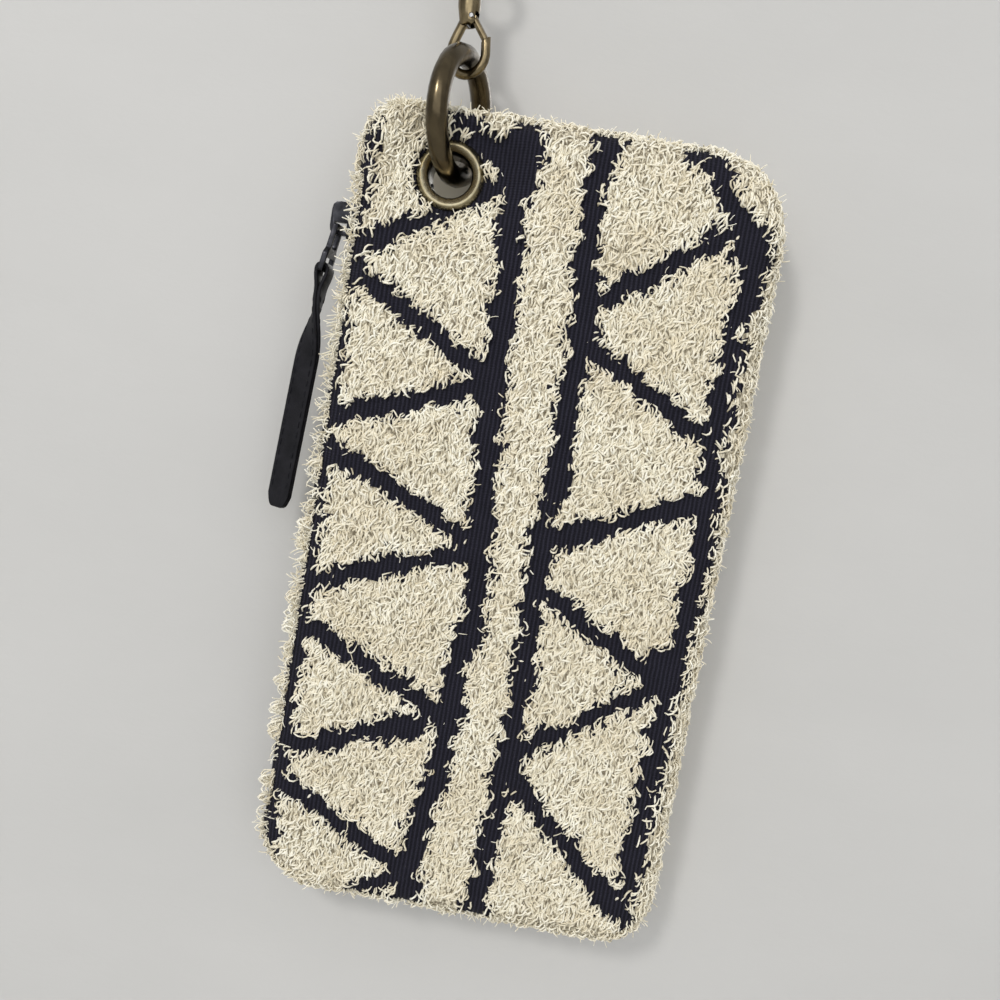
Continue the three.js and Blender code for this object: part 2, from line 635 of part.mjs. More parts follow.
function hookGeometry() {
  const section = new THREE.Shape();
  for (let side = 0; side < WIRE_SIDES; side += 1) {
    const angle = (side / WIRE_SIDES) * 2 * Math.PI;
    const point = [HOOK_WIRE_RADIUS * Math.cos(angle), HOOK_WIRE_RADIUS * Math.sin(angle)];
    if (side === 0) section.moveTo(...point);
    else section.lineTo(...point);
  }
  const wire = solid(new THREE.ExtrudeGeometry(section, {
    steps: HOOK_STEPS, bevelEnabled: false, extrudePath: hookPath(),
  }));
  const low = BARREL_RADIUS - BARREL_TAPER;
  const barrel = turnedAboutZ([
    [0, BARREL_BOTTOM], [low - BARREL_TAPER, BARREL_BOTTOM], [low, BARREL_BOTTOM + BARREL_TAPER],
    [BARREL_RADIUS, BARREL_BOTTOM + BARREL_SHOULDER], [BARREL_RADIUS, barrelTop - BARREL_TAPER],
    [BARREL_RADIUS - BARREL_TAPER, barrelTop], [0, barrelTop],
  ]);
  const bore = turnedAboutZ([
    [0, windowBottom], [boreRadius, windowBottom], [boreRadius, barrelTop + GAP], [0, barrelTop + GAP],
  ]);
  const headRoom = POST_HEAD_RADIUS + GAP;
  const window = box(-headRoom, headRoom, -FAR, FAR, windowBottom, windowTop);
  const gateSlot = box(gatePinX - gateKnuckle - SPRING_THICKNESS - 2 * GAP, FAR, -gateSlotHalf, gateSlotHalf,
    -GAP, gatePinZ + gateKnuckle + GAP).intersect(
    box(-FAR, FAR, -FAR, FAR, BARREL_BOTTOM - GAP, FAR),
  );
  const pinHole = barAlongY(GATE_PIN_RADIUS + GAP / 3, FAR, gatePinX, gatePinZ);
  const gateSweep = barAlongY(gateReach, FAR, gatePinX, gatePinZ, LATHE_STEPS)
    .intersect(box(gatePinX, FAR, -FAR, FAR, -FAR, FAR));
  return geometryOf(barrel.add(wire.subtract(gateSweep))
    .subtract(bore).subtract(window).subtract(gateSlot).subtract(pinHole));
}

// The gate: a round bar from its knuckle in the barrel, with an end that swings past the hook's nose
function gateGeometry() {
  const knuckle = barAlongY(gateKnuckle, GATE_DEPTH, gatePinX, gatePinZ);
  const bar = new THREE.CylinderGeometry(gateKnuckle, gateKnuckle, gateReach, WIRE_SIDES);
  bar.translate(0, -gateReach / 2, 0);
  bar.rotateX(Math.PI / 2);
  bar.rotateY(-Math.atan2(HOOK_HALF_WIDTH - gatePinX, gatePinZ - HOOK_NOSE_AT));
  bar.translate(gatePinX, 0, gatePinZ);
  const end = barAlongY(gateReach - GAP, FAR, gatePinX, gatePinZ, LATHE_STEPS);
  const hole = barAlongY(GATE_PIN_RADIUS + GAP / 3, FAR, gatePinX, gatePinZ);
  return geometryOf(knuckle.add(solid(bar).intersect(end)).subtract(hole));
}

// The pin across the barrel that the gate turns on
function gatePinGeometry() {
  return geometryOf(barAlongY(GATE_PIN_RADIUS, 2 * (BARREL_RADIUS - BARREL_TAPER) - GAP, gatePinX, gatePinZ));
}

// The leaf spring that stands in the slot behind the gate
function gateSpringGeometry() {
  const back = gatePinX - gateKnuckle - GAP;
  return geometryOf(box(back - SPRING_THICKNESS, back, -GATE_DEPTH / 2, GATE_DEPTH / 2,
    BARREL_BOTTOM, gatePinZ + gateKnuckle));
}

// The swivel eye: a round eye on a collar, with a post that is riveted inside the barrel's window
function eyeGeometry() {
  const eye = solid(new THREE.TorusGeometry(EYE_RADIUS, EYE_WIRE_RADIUS, WIRE_SIDES, EYE_STEPS)
    .rotateX(Math.PI / 2).translate(0, 0, eyeHeight));
  const headTop = windowTop - GAP;
  const post = turnedAboutZ([
    [0, headTop - POST_HEAD_HEIGHT], [POST_HEAD_RADIUS, headTop - POST_HEAD_HEIGHT],
    [POST_HEAD_RADIUS, headTop], [POST_RADIUS, headTop], [POST_RADIUS, collarBottom],
    [COLLAR_RADIUS, collarBottom], [COLLAR_RADIUS, collarBottom + COLLAR_HEIGHT / 2],
    [POST_RADIUS, collarBottom + COLLAR_HEIGHT], [0, collarBottom + COLLAR_HEIGHT],
  ]);
  return geometryOf(eye.add(post));
}

// The O-ring stands square to the hook that carries it
function ringGeometry() {
  return new THREE.TorusGeometry(RING_RADIUS, RING_WIRE_RADIUS, RING_SIDES, RING_STEPS)
    .rotateY(Math.PI / 2);
}

// Materials
const finishes = {
  tuftedCloth: { color: 0xd9d3bd, roughness: 0.95, metalness: 0 },
  lining: { color: 0x2b2b33, roughness: 0.9, metalness: 0 },
  zipTape: { color: 0x1d1d22, roughness: 0.9, metalness: 0 },
  zipTeeth: { color: 0x18181b, roughness: 0.5, metalness: 0.1 },
  blackMetal: { color: 0x1a1a1c, roughness: 0.35, metalness: 0.9 },
  leather: { color: 0x201f24, roughness: 0.6, metalness: 0 },
  brass: { color: 0xb89a5a, roughness: 0.3, metalness: 1 },
  antiqueBrass: { color: 0x5a4c34, roughness: 0.38, metalness: 1 },
  springSteel: { color: 0x8a8a8a, roughness: 0.35, metalness: 1 },
};

function addPiece(group, name, geometry, finish) {
  const mesh = new THREE.Mesh(geometry, new THREE.MeshStandardMaterial(finishes[finish]));
  mesh.name = name;
  group.add(mesh);
}

// The clasp hangs down from the strap eye, and the ring hangs a little straighter from its hook
const turn = radians(RING_TURN);
const leanAxis = new THREE.Vector3(Math.sin(turn), Math.cos(turn), 0);
const claspLean = new THREE.Quaternion().setFromAxisAngle(leanAxis, -radians(CLASP_LEAN));
const ringLean = new THREE.Quaternion().setFromAxisAngle(leanAxis, -radians(RING_LEAN));
const facing = new THREE.Quaternion().setFromAxisAngle(new THREE.Vector3(0, 0, 1), -turn);
const below = (start, drop, lean) => new THREE.Vector3(0, 0, -drop).applyQuaternion(lean).add(start);
const eyeAt = new THREE.Vector3();
const ringTop = below(eyeAt, eyeHeight - RING_WIRE_RADIUS - HOOK_WIRE_RADIUS - GAP, claspLean);
const wristlet = new THREE.Group();

const hookGroup = new THREE.Group();
hookGroup.position.copy(below(eyeAt, eyeHeight, claspLean));
hookGroup.quaternion.multiplyQuaternions(claspLean, facing);
wristlet.add(hookGroup);
addPiece(hookGroup, 'swivel_eye', eyeGeometry(), 'antiqueBrass');
addPiece(hookGroup, 'clasp_hook', hookGeometry(), 'antiqueBrass');
addPiece(hookGroup, 'clasp_gate', gateGeometry(), 'antiqueBrass');
addPiece(hookGroup, 'gate_pin', gatePinGeometry(), 'springSteel');
addPiece(hookGroup, 'gate_spring', gateSpringGeometry(), 'springSteel');

const ringGroup = new THREE.Group();
ringGroup.position.copy(below(ringTop, RING_RADIUS, ringLean));
ringGroup.quaternion.multiplyQuaternions(ringLean, facing);
wristlet.add(ringGroup);
addPiece(ringGroup, 'o_ring', ringGeometry(), 'antiqueBrass');

// The pouch hangs straight from the ring's lowest wire
const pouchGroup = new THREE.Group();
pouchGroup.position.copy(below(ringTop, 2 * RING_RADIUS, ringLean));
pouchGroup.position.z -= RING_DROP;
wristlet.add(pouchGroup);
const panel = panelGeometry();
addPiece(pouchGroup, 'front_panel', panel, 'tuftedCloth');
addPiece(pouchGroup, 'back_panel', onBack(panel), 'tuftedCloth');
const lining = liningGeometry();
addPiece(pouchGroup, 'front_lining', lining, 'lining');
addPiece(pouchGroup, 'back_lining', onBack(lining), 'lining');
addPiece(pouchGroup, 'grommet', grommetGeometry(), 'brass');
addPiece(pouchGroup, 'grommet_washer', washerGeometry(), 'brass');

const tape = tapeGeometry();
addPiece(pouchGroup, 'zip_tape_front', tape, 'zipTape');
addPiece(pouchGroup, 'zip_tape_back', onBack(tape), 'zipTape');
const leaf = leafGeometry();
addPiece(pouchGroup, 'zip_leaf_front', leaf, 'zipTape');
addPiece(pouchGroup, 'zip_leaf_back', onBack(leaf), 'zipTape');
const halfPitch = TOOTH_PITCH / 2;
const endLow = bottomStopTop;
const endTop = bottomStopTop + SLIDER_LENGTH - DIAMOND_WIDTH - GAP;
addPiece(pouchGroup, 'zip_teeth_front', teethGeometry(leafBottom, leafTop, 0), 'zipTeeth');
addPiece(pouchGroup, 'zip_teeth_back', onBack(teethGeometry(leafBottom, leafTop, halfPitch)), 'zipTeeth');
addPiece(pouchGroup, 'zip_end_teeth_front', teethGeometry(endLow, endTop, 0), 'zipTeeth');
addPiece(pouchGroup, 'zip_end_teeth_back', onBack(teethGeometry(endLow, endTop, halfPitch)), 'zipTeeth');
const topStop = stopGeometry(-TEETH_HALF_WIDTH, -TOOTH_REACH, mouthTop - STOP_LENGTH - GAP);
addPiece(pouchGroup, 'zip_top_stop_front', topStop, 'blackMetal');
addPiece(pouchGroup, 'zip_top_stop_back', onBack(topStop), 'blackMetal');
const bottomStop = stopGeometry(-TEETH_HALF_WIDTH, TEETH_HALF_WIDTH, mouthBottom);
addPiece(pouchGroup, 'zip_bottom_stop', bottomStop, 'blackMetal');
addPiece(pouchGroup, 'zip_slider', sliderGeometry(), 'blackMetal');

const pullerGroup = new THREE.Group();
pullerGroup.position.set(barX, 0, barZ);
pullerGroup.rotation.y = radians(PULLER_LEAN);
pouchGroup.add(pullerGroup);
addPiece(pullerGroup, 'zip_puller', pullerGeometry(), 'blackMetal');
const tabGroup = new THREE.Group();
tabGroup.position.z = tabDrop;
tabGroup.rotation.y = radians(TAB_LEAN - PULLER_LEAN);
pullerGroup.add(tabGroup);
addPiece(tabGroup, 'pull_tab', tabGeometry(), 'leather');

export default wristlet;
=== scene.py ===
import json
import math

import bmesh
import bpy
import numpy as np
from mathutils import Matrix, Vector


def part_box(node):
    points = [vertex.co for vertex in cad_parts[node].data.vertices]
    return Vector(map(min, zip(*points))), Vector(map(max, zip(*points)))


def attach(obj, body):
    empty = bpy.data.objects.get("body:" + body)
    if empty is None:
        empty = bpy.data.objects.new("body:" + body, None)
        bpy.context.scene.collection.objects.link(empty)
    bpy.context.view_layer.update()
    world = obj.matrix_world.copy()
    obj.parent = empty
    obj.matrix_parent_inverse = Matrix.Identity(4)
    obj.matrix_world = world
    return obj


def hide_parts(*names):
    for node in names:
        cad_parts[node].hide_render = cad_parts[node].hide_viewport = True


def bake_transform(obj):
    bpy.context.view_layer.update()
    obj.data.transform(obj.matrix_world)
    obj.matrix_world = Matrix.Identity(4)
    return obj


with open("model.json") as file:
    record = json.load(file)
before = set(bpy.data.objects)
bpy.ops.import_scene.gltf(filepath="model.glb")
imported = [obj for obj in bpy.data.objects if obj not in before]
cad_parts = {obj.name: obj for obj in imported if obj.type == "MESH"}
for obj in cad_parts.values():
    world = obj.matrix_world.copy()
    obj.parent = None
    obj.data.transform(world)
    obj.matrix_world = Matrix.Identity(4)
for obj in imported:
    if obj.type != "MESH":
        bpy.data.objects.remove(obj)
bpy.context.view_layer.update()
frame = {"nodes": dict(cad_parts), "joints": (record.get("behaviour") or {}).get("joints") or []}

MM = 0.001
scene = bpy.context.scene
rng = np.random.default_rng(7)

# Sizes of the pouch in millimetres, as the solids have them
WIDTH, LENGTH, HALF_THICKNESS = 100.0, 195.0, 8.0
TOP_RIGHT, TOP_LEFT, BOTTOM_LEFT, BOTTOM_RIGHT = 18.0, 10.0, 16.0, 12.0
EDGE, CROWN, CLOTH = 6.0, 1.0, 1.2
LINING_DEPTH, LINING = 2.3, 0.7
SEAT, SEAT_RADIUS, DIMPLE_RADIUS = 3.15, 9.1, 24.0
BORE_RADIUS = 6.1
FROM_SIDE, FROM_TOP = 21.2, 14.4
MOUTH_TOP, MOUTH_BOTTOM, MOUTH_HALF = 20.0, 180.0, 4.6

# Zip tape and teeth
TAPE, TAPE_DEPTH, TAPE_PARTING, TAPE_GAP = 0.5, 1.75, 1.3, 0.3
TOOTH_PITCH, TOOTH_STEM, TOOTH_HEAD, TOOTH_REACH, TOOTH_ROOT = 2.0, 0.42, 0.5, 0.75, 2.1

# Leather tab: one band folded round the puller's bar, with both its ends hanging as one strip
TAB_WIDTH, TAB_LAYER, TAB_BAR_HOLE, TAB_NECK, TAB_LENGTH = 6.5, 0.86, 0.9, 5.4, 55.0
TAB_TWIST, TAB_TWIST_RUN, TAB_LEAN, TAB_TIP, TAB_TIP_WIDTH = 65.0, 18.0, 3.0, 3.2, 3.2

# The pouch's own frame: the grommet's middle, with x right, y back and z up
grommet_low, grommet_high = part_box("grommet")
SEAM = (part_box("front_panel")[1].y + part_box("back_panel")[0].y) / 2
GROMMET = np.array([(grommet_low.x + grommet_high.x) / 2, SEAM, (grommet_low.z + grommet_high.z) / 2])
CORNER_AT = np.array([-FROM_SIDE, 0.0, FROM_TOP])


def to_world(points):
    """Points in millimetres from the cloth's top left corner (x right, y back, z up) to the row frame."""
    return (np.asarray(points, float) + CORNER_AT) * MM + GROMMET


def to_cloth(point):
    """A point of the row frame in millimetres from the cloth's top left corner."""
    return (np.asarray(point, float) - GROMMET) / MM - CORNER_AT


# ---- mesh tools


def unit(vectors):
    """Vectors scaled to a length of 1."""
    return vectors / np.linalg.norm(vectors, axis=-1, keepdims=True)


def placed(name, data):
    """A new object in the scene."""
    obj = bpy.data.objects.new(name, data)
    scene.collection.objects.link(obj)
    return obj


def new_object(name, vertices, quads=None, rings=None, smooth=True):
    """An object from arrays of vertices (metres), quads and other polygons of one size."""
    groups = [np.asarray(g, int) for g in (quads, rings) if g is not None and len(g)]
    sizes = np.concatenate([np.full(len(g), g.shape[1]) for g in groups])
    loops = np.concatenate([g.ravel() for g in groups])
    mesh = bpy.data.meshes.new(name)
    mesh.vertices.add(len(vertices))
    mesh.vertices.foreach_set("co", np.asarray(vertices, np.float32).ravel())
    mesh.loops.add(len(loops))
    mesh.loops.foreach_set("vertex_index", loops.astype(np.int32))
    mesh.polygons.add(len(sizes))
    mesh.polygons.foreach_set("loop_start", np.concatenate([[0], np.cumsum(sizes)[:-1]]).astype(np.int32))
    mesh.polygons.foreach_set("use_smooth", np.full(len(sizes), smooth))
    mesh.update(calc_edges=True)
    mesh.validate()
    return placed(name, mesh)


def loft(name, rings):
    """A closed skin over rings of points, (n, k, 3) in metres, with flat ends."""
    n, k, _ = rings.shape
    index = np.arange(n * k).reshape(n, k)
    after = np.roll(index, -1, axis=1)
    quads = np.stack([index[:-1], after[:-1], after[1:], index[1:]], axis=-1).reshape(-1, 4)
    obj = new_object(name, rings.reshape(-1, 3), quads, np.stack([index[0, ::-1], index[-1]]))
    mesh = bmesh.new()
    mesh.from_mesh(obj.data)
    bmesh.ops.recalc_face_normals(mesh, faces=mesh.faces)
    mesh.to_mesh(obj.data)
    mesh.free()
    return obj


def joined(name, objects):
    """One object from several, which it takes the place of."""
    mesh = bmesh.new()
    for obj in objects:
        mesh.from_mesh(obj.data)
        bpy.data.objects.remove(obj)
    data = bpy.data.meshes.new(name)
    mesh.to_mesh(data)
    mesh.free()
    return placed(name, data)


def tubes(name, paths, radii, side, sides=4, tone=None):
    """Many closed tubes in one object. paths is (n, k, 3), radii and tone (n, k), side (n, 3)."""
    n, k, _ = paths.shape
    tangent = unit(np.gradient(paths, axis=1))
    across = np.repeat(side[:, None, :], k, axis=1)
    across = unit(across - tangent * np.sum(across * tangent, axis=2, keepdims=True))
    up = np.cross(tangent, across)
    angle = (np.arange(sides) * 2 * np.pi / sides)[:, None]
    ring = across[:, :, None, :] * np.cos(angle) + up[:, :, None, :] * np.sin(angle)
    vertices = paths[:, :, None, :] + ring * radii[:, :, None, None]
    index = np.arange(n * k * sides).reshape(n, k, sides)
    after = np.roll(index, -1, axis=2)
    quads = np.stack([index[:, :-1], after[:, :-1], after[:, 1:], index[:, 1:]], axis=-1).reshape(-1, 4)
    caps = np.concatenate([index[:, 0, ::-1], index[:, -1, :]])
    obj = new_object(name, vertices.reshape(-1, 3), quads, caps)
    if tone is not None:
        shade = obj.data.attributes.new("tone", "FLOAT", "POINT")
        shade.data.foreach_set("value", np.repeat(np.clip(tone, 0, 1).ravel(), sides).astype(np.float32))
    return obj


# ---- the pouch's surface


def corner_radius(right, down):
    """The radius of the corner nearest to a place right of and below the cloth's middle."""
    top = np.where(right > 0, TOP_RIGHT, TOP_LEFT)
    return np.where(down > 0, np.where(right > 0, BOTTOM_RIGHT, BOTTOM_LEFT), top)


def inset_of(x, z):
    """How far a place on the cloth lies inside its rounded outline (x right, z down from the corner)."""
    radius = corner_radius(x - WIDTH / 2, z - LENGTH / 2)
    dx = np.abs(x - WIDTH / 2) - (WIDTH / 2 - radius)
    dz = np.abs(z - LENGTH / 2) - (LENGTH / 2 - radius)
    outside = np.hypot(np.maximum(dx, 0), np.maximum(dz, 0))
    return radius - outside - np.minimum(np.maximum(dx, dz), 0)


def half_thickness(x, z, depth=0.0):
    """Height of one face over the seam at a place on the cloth."""
    inset = inset_of(x, z) - depth
    edge = EDGE - depth
    arc = np.sqrt(np.clip(1 - (1 - np.clip(inset / edge, 0, 1)) ** 2, 0, 1))
    a, b = WIDTH / 2 - depth, LENGTH / 2 - depth
    crown = CROWN * (1 - ((x - WIDTH / 2) / a) ** 2) * (1 - ((z - LENGTH / 2) / b) ** 2)
    height = (HALF_THICKNESS - depth) * arc + np.clip(crown, 0, None) * arc
    r = np.hypot(x - FROM_SIDE, z - FROM_TOP)
    share = np.clip((r - SEAT_RADIUS) / (DIMPLE_RADIUS - SEAT_RADIUS), 0, 1)
    rise = (1 - np.cos(np.pi * share)) / 2
    pressed = SEAT + (HALF_THICKNESS + CROWN - SEAT) * rise - depth
    return np.where(r < DIMPLE_RADIUS, np.minimum(height, pressed), height)


def surface_at(x, z, side):
    """Points and outward normals of a face, by small steps."""
    step = 0.05
    h = half_thickness(x, z)
    hx = (half_thickness(x + step, z) - half_thickness(x - step, z)) / (2 * step)
    hz = (half_thickness(x, z + step) - half_thickness(x, z - step)) / (2 * step)
    points = np.stack([x, side * h, -z], axis=1)
    return points, unit(np.stack([-hx, np.full_like(h, side), hz], axis=1))


def rounded(x, z, a, b, radius):
    """Moves points of a rectangle's outline (half sizes a, b) onto the same rectangle with round corners."""
    cx, cz = a - radius, b - radius
    dx, dz = np.abs(x) - cx, np.abs(z) - cz
    corner = (dx > 0) & (dz > 0)
    length = np.where(corner, np.hypot(dx, dz), 1)
    nx = np.where(corner, np.sign(x) * (cx + radius * dx / length), x)
    nz = np.where(corner, np.sign(z) * (cz + radius * dz / length), z)
    return nx, nz


# Where the grid starts to turn round in its corners, as a share of the way out, and the least radius there
ROUND_FROM, LEAST_RADIUS = 0.6, 2.0


def face_grid(depth, rim_steps, across, along):
    """A grid of quads over one face: (x, z) places on the cloth and the index grid."""
    u = np.linspace(-1, 1, across + 1)
    v = np.linspace(-1, 1, along + 1)
    grid_u, grid_v = np.meshgrid(u, v, indexing="ij")
    a, b, edge = WIDTH / 2 - depth, LENGTH / 2 - depth, EDGE - depth
    core_x, core_z = a - edge, b - edge
    x, z = grid_u * core_x, grid_v * core_z
    ring = np.maximum(np.abs(grid_u), np.abs(grid_v))
    soften = np.clip((ring - ROUND_FROM) / (1 - ROUND_FROM), 0, 1) ** 2
    radius = np.maximum(corner_radius(grid_u, grid_v) - depth - edge, LEAST_RADIUS)
    half_x, half_z = np.maximum(ring * core_x, radius), np.maximum(ring * core_z, radius)
    rx, rz = rounded(x, z, half_x, half_z, np.minimum(radius, np.minimum(half_x, half_z)))
    x, z = x + (rx - x) * soften, z + (rz - z) * soften
    loop = [(i, 0) for i in range(across)] + [(across, j) for j in range(along)]
    loop += [(i, along) for i in range(across, 0, -1)] + [(0, j) for j in range(along, 0, -1)]
    outline = np.array(loop)
    base_x, base_z = grid_u[outline[:, 0], outline[:, 1]], grid_v[outline[:, 0], outline[:, 1]]
    rim_x, rim_z = [], []
    for step in range(1, rim_steps + 1):
        inset = edge * (1 - math.sin(step / rim_steps * math.pi / 2))
        ra, rb = a - inset, b - inset
        px, pz = rounded(base_x * ra, base_z * rb, ra, rb, corner_radius(base_x, base_z) - depth - inset)
        rim_x.append(px)
        rim_z.append(pz)
    xs = np.concatenate([x.ravel(), np.concatenate(rim_x)]) + WIDTH / 2
    zs = np.concatenate([z.ravel(), np.concatenate(rim_z)]) + LENGTH / 2
    index = np.arange((across + 1) * (along + 1)).reshape(across + 1, along + 1)
    cells = np.stack([index[:-1, :-1], index[1:, :-1], index[1:, 1:], index[:-1, 1:]], axis=-1)
    quads = [cells.reshape(-1, 4)]
    previous = index[outline[:, 0], outline[:, 1]]
    count = len(outline)
    for step in range(rim_steps):
        current = index.size + step * count + np.arange(count)
        quads.append(np.stack([current, np.roll(current, -1), np.roll(previous, -1), previous], axis=-1))
        previous = current
    return xs, zs, np.concatenate(quads)


CORNER_POINTS = 13


def outline_at(share):
    """Places round the cloth's outline (x, z) and the outward directions there, by share of the way round."""
    arcs = []
    for quarter, (side_x, side_z) in enumerate([(1, 1), (-1, 1), (-1, -1), (1, -1)]):
        turn = (quarter + np.linspace(0, 1, CORNER_POINTS)) * np.pi / 2
        radius = corner_radius(side_x, side_z)
        arcs.append(np.stack([
            WIDTH / 2 + side_x * (WIDTH / 2 - radius) + radius * np.cos(turn),
            LENGTH / 2 + side_z * (LENGTH / 2 - radius) + radius * np.sin(turn),
            np.cos(turn), np.sin(turn),
        ], axis=1))
    points = np.concatenate(arcs + [arcs[0][:1]])
    run = np.concatenate([[0], np.cumsum(np.hypot(*np.diff(points[:, :2], axis=0).T))])
    return [np.interp(share * run[-1], run, column) for column in points.T]


# How far the rim's points may stand over the face, and how far they stay from the seam
RIM_PROUD, RIM_FROM_SEAM = 0.4, 0.3


def rim_at(share, angle, side):
    """Points and outward normals on the rounded rim, by share of the way round and angle up from the seam."""
    x, z, nx, nz = outline_at(share)
    inset = EDGE * (1 - np.cos(angle))
    x, z = x - nx * inset, z - nz * inset
    height = np.minimum(HALF_THICKNESS * np.sin(angle), half_thickness(x, z) + RIM_PROUD)
    points = np.stack([x, side * np.maximum(height, RIM_FROM_SEAM), -z], axis=1)
    normals = np.stack([nx * np.cos(angle), side * np.sin(angle), -nz * np.cos(angle)], axis=1)
    return points, normals


# ---- the pattern of navy lines

# Straight runs as (x0, z0, x1, z1), wandering lines as (x, z) and blobs as (x, z, radius), all in millimetres
# right of and below the cloth's top left corner
ZIGZAGS = [
    (20, 0, 38.5, 12.5), (38.5, 12.5, -3, 39), (3, 39.5, 39.5, 61), (39.5, 62, -3, 77.5),
    (-3, 79.5, 43.5, 100.5), (41.5, 101.5, -3, 118), (3, 126, 41.5, 143), (41.5, 144, -3, 161.5),
    (-3, 163.5, 38.5, 185), (38.5, 185, 25.5, 193.5),
    (78, 1, 97, 22), (91, 15.5, 57.5, 41.5), (59, 47.5, 93, 66.5), (93, 80.5, 59, 96),
    (61, 108.5, 88.5, 124), (88.5, 128.5, 61, 148), (61, 156, 90, 183),
]
LEFT_OF_CENTRE = [
    (37.5, 1), (37.5, 18.5), (39, 35), (39.5, 49.5), (40.5, 68.5), (42.5, 93), (44, 106.5), (45, 119),
    (42.5, 128.5), (43.5, 143), (42.5, 156), (39.5, 175), (39.5, 196),
]
RIGHT_OF_CENTRE = [
    (57, -1), (55.5, 15.5), (56.5, 30), (59, 45.5), (58, 61), (59, 78.5), (57.5, 95), (58, 107.5),
    (58.5, 122), (59, 136.5), (59, 154), (58, 167.5), (57, 196),
]
LEFT_BORDER = [(0.9, 2), (0.9, 35), (1.9, 80), (2.7, 120), (2.6, 191)]
RIGHT_BORDER = [
    (95.5, 18), (93.5, 34), (92.7, 52), (93.2, 70), (95.2, 86), (95.2, 104), (94, 124), (93.2, 165),
    (93.4, 186),
]
BLOBS = [(37.5, 8, 5.5), (37.5, 14, 5), (59, 45.5, 4.4), (59, 154, 4.4), (91, 123, 5.5), (92, 20, 4.5)]
# Half widths
ZIGZAG_HALF = 2.3
WANDERING = ((LEFT_OF_CENTRE, 2.9), (RIGHT_OF_CENTRE, 2.6), (LEFT_BORDER, 2.3), (RIGHT_BORDER, 2.3))

# Every navy line as (x0, z0, x1, z1, half width)
LINES = [(*run, ZIGZAG_HALF) for run in ZIGZAGS] + [(x, z, x, z, r) for x, z, r in BLOBS]
for line, line_half in WANDERING:
    LINES += [(*a, *b, line_half) for a, b in zip(line, line[1:])]

# Waves that add up to an irregular field: strength, radians per millimetre along x and z, and phase
WAVES = ((0.5, 0.83, 1.31, 0.7), (0.35, 1.71, -0.93, 2.1), (0.3, 0.37, -2.3, 4.2), (0.25, 2.9, 2.1, 0.0))

# How far and how finely the lines are warped, and how ragged their edges are
WARP, WARP_SCALE, WARP_SHIFT, RAGGED = 0.9, 0.3, 5, 1.15


def wander(x, z, reach):
    """A smooth irregular field of about plus and minus reach, with humps of a few millimetres."""
    return reach * sum(part * np.sin(by_x * x + by_z * z + phase) for part, by_x, by_z, phase in WAVES)


def from_grommet(x, z):
    """Distance from the grommet's axis."""
    return np.hypot(x - FROM_SIDE, z - FROM_TOP)


def from_lines(x, z):
    """Distance from the ragged edge of the nearest navy line or from the grommet's flange: over 0 is pile."""
    rim = from_grommet(x, z) - SEAT_RADIUS
    coarse_x, coarse_z = WARP_SCALE * x, WARP_SCALE * z
    x, z = x + wander(coarse_x, coarse_z, WARP), z + wander(coarse_z + WARP_SHIFT, coarse_x, WARP)
    best = np.full(np.shape(x), 1e6)
    for x0, z0, x1, z1, half in LINES:
        dx, dz = x1 - x0, z1 - z0
        long2 = max(dx * dx + dz * dz, 1e-9)
        t = np.clip(((x - x0) * dx + (z - z0) * dz) / long2, 0, 1)
        best = np.minimum(best, np.hypot(x - x0 - t * dx, z - z0 - t * dz) - half)
    return np.minimum(best + wander(x, z, RAGGED), rim)


# ---- materials


def fill(tree, made, inputs):
    """Gives a node's sockets their values, or links them to other sockets."""
    for socket, value in dict(inputs).items():
        if isinstance(value, bpy.types.NodeSocket):
            tree.links.new(value, made.inputs[socket])
        else:
            made.inputs[socket].default_value = value


def node(tree, kind, inputs=(), **settings):
    """A node with its settings and inputs. Shader nodes are called by the last part of their type."""
    made = tree.nodes.new(kind if "Node" in kind else f"ShaderNode{kind}")
    for key, value in settings.items():
        setattr(made, key, value)
    fill(tree, made, inputs)
    return made


def material(name, colour, roughness=0.5, metallic=0.0, specular=0.5):
    """A principled material, its node tree and its shader."""
    made = bpy.data.materials.new(name)
    made.use_nodes = True
    shader = made.node_tree.nodes["Principled BSDF"]
    fill(made.node_tree, shader, {
        "Base Color": (*colour, 1), "Roughness": roughness, "Metallic": metallic,
        "Specular IOR Level": specular,
    })
    return made, made.node_tree, shader


def coordinates(tree, scale=(1, 1, 1)):
    """Object coordinates in millimetres, stretched by scale."""
    place = node(tree, "TexCoord").outputs["Object"]
    return node(tree, "Mapping", {"Scale": [s / MM for s in scale], "Vector": place}).outputs["Vector"]


def noise(tree, vector, scale, detail=3.0):
    """A noise texture's value; scale counts features per millimetre."""
    inputs = {"Scale": scale, "Detail": detail, "Roughness": 0.55, "Vector": vector}
    return node(tree, "TexNoise", inputs).outputs["Fac"]


def wave(tree, vector, scale, direction, distortion):
    """A banded wave's value; scale counts bands per millimetre."""
    inputs = {"Scale": scale * math.pi / 10, "Distortion": distortion, "Detail": 2.0, "Vector": vector}
    return node(tree, "TexWave", inputs, wave_type="BANDS", bands_direction=direction).outputs["Fac"]


def ramp(tree, value, stops):
    """A colour ramp over a value."""
    made = node(tree, "ValToRGB", {"Fac": value})
    elements = made.color_ramp.elements
    while len(elements) < len(stops):
        elements.new(0.5)
    for element, (place, colour) in zip(elements, stops):
        element.position = place
        element.color = (*colour, 1)
    return made.outputs["Color"]


def multiplied(tree, first, second):
    """Two colours multiplied."""
    inputs = {"Factor": 1.0, "A": first, "B": second}
    return node(tree, "Mix", inputs, data_type="RGBA", blend_type="MULTIPLY").outputs["Result"]


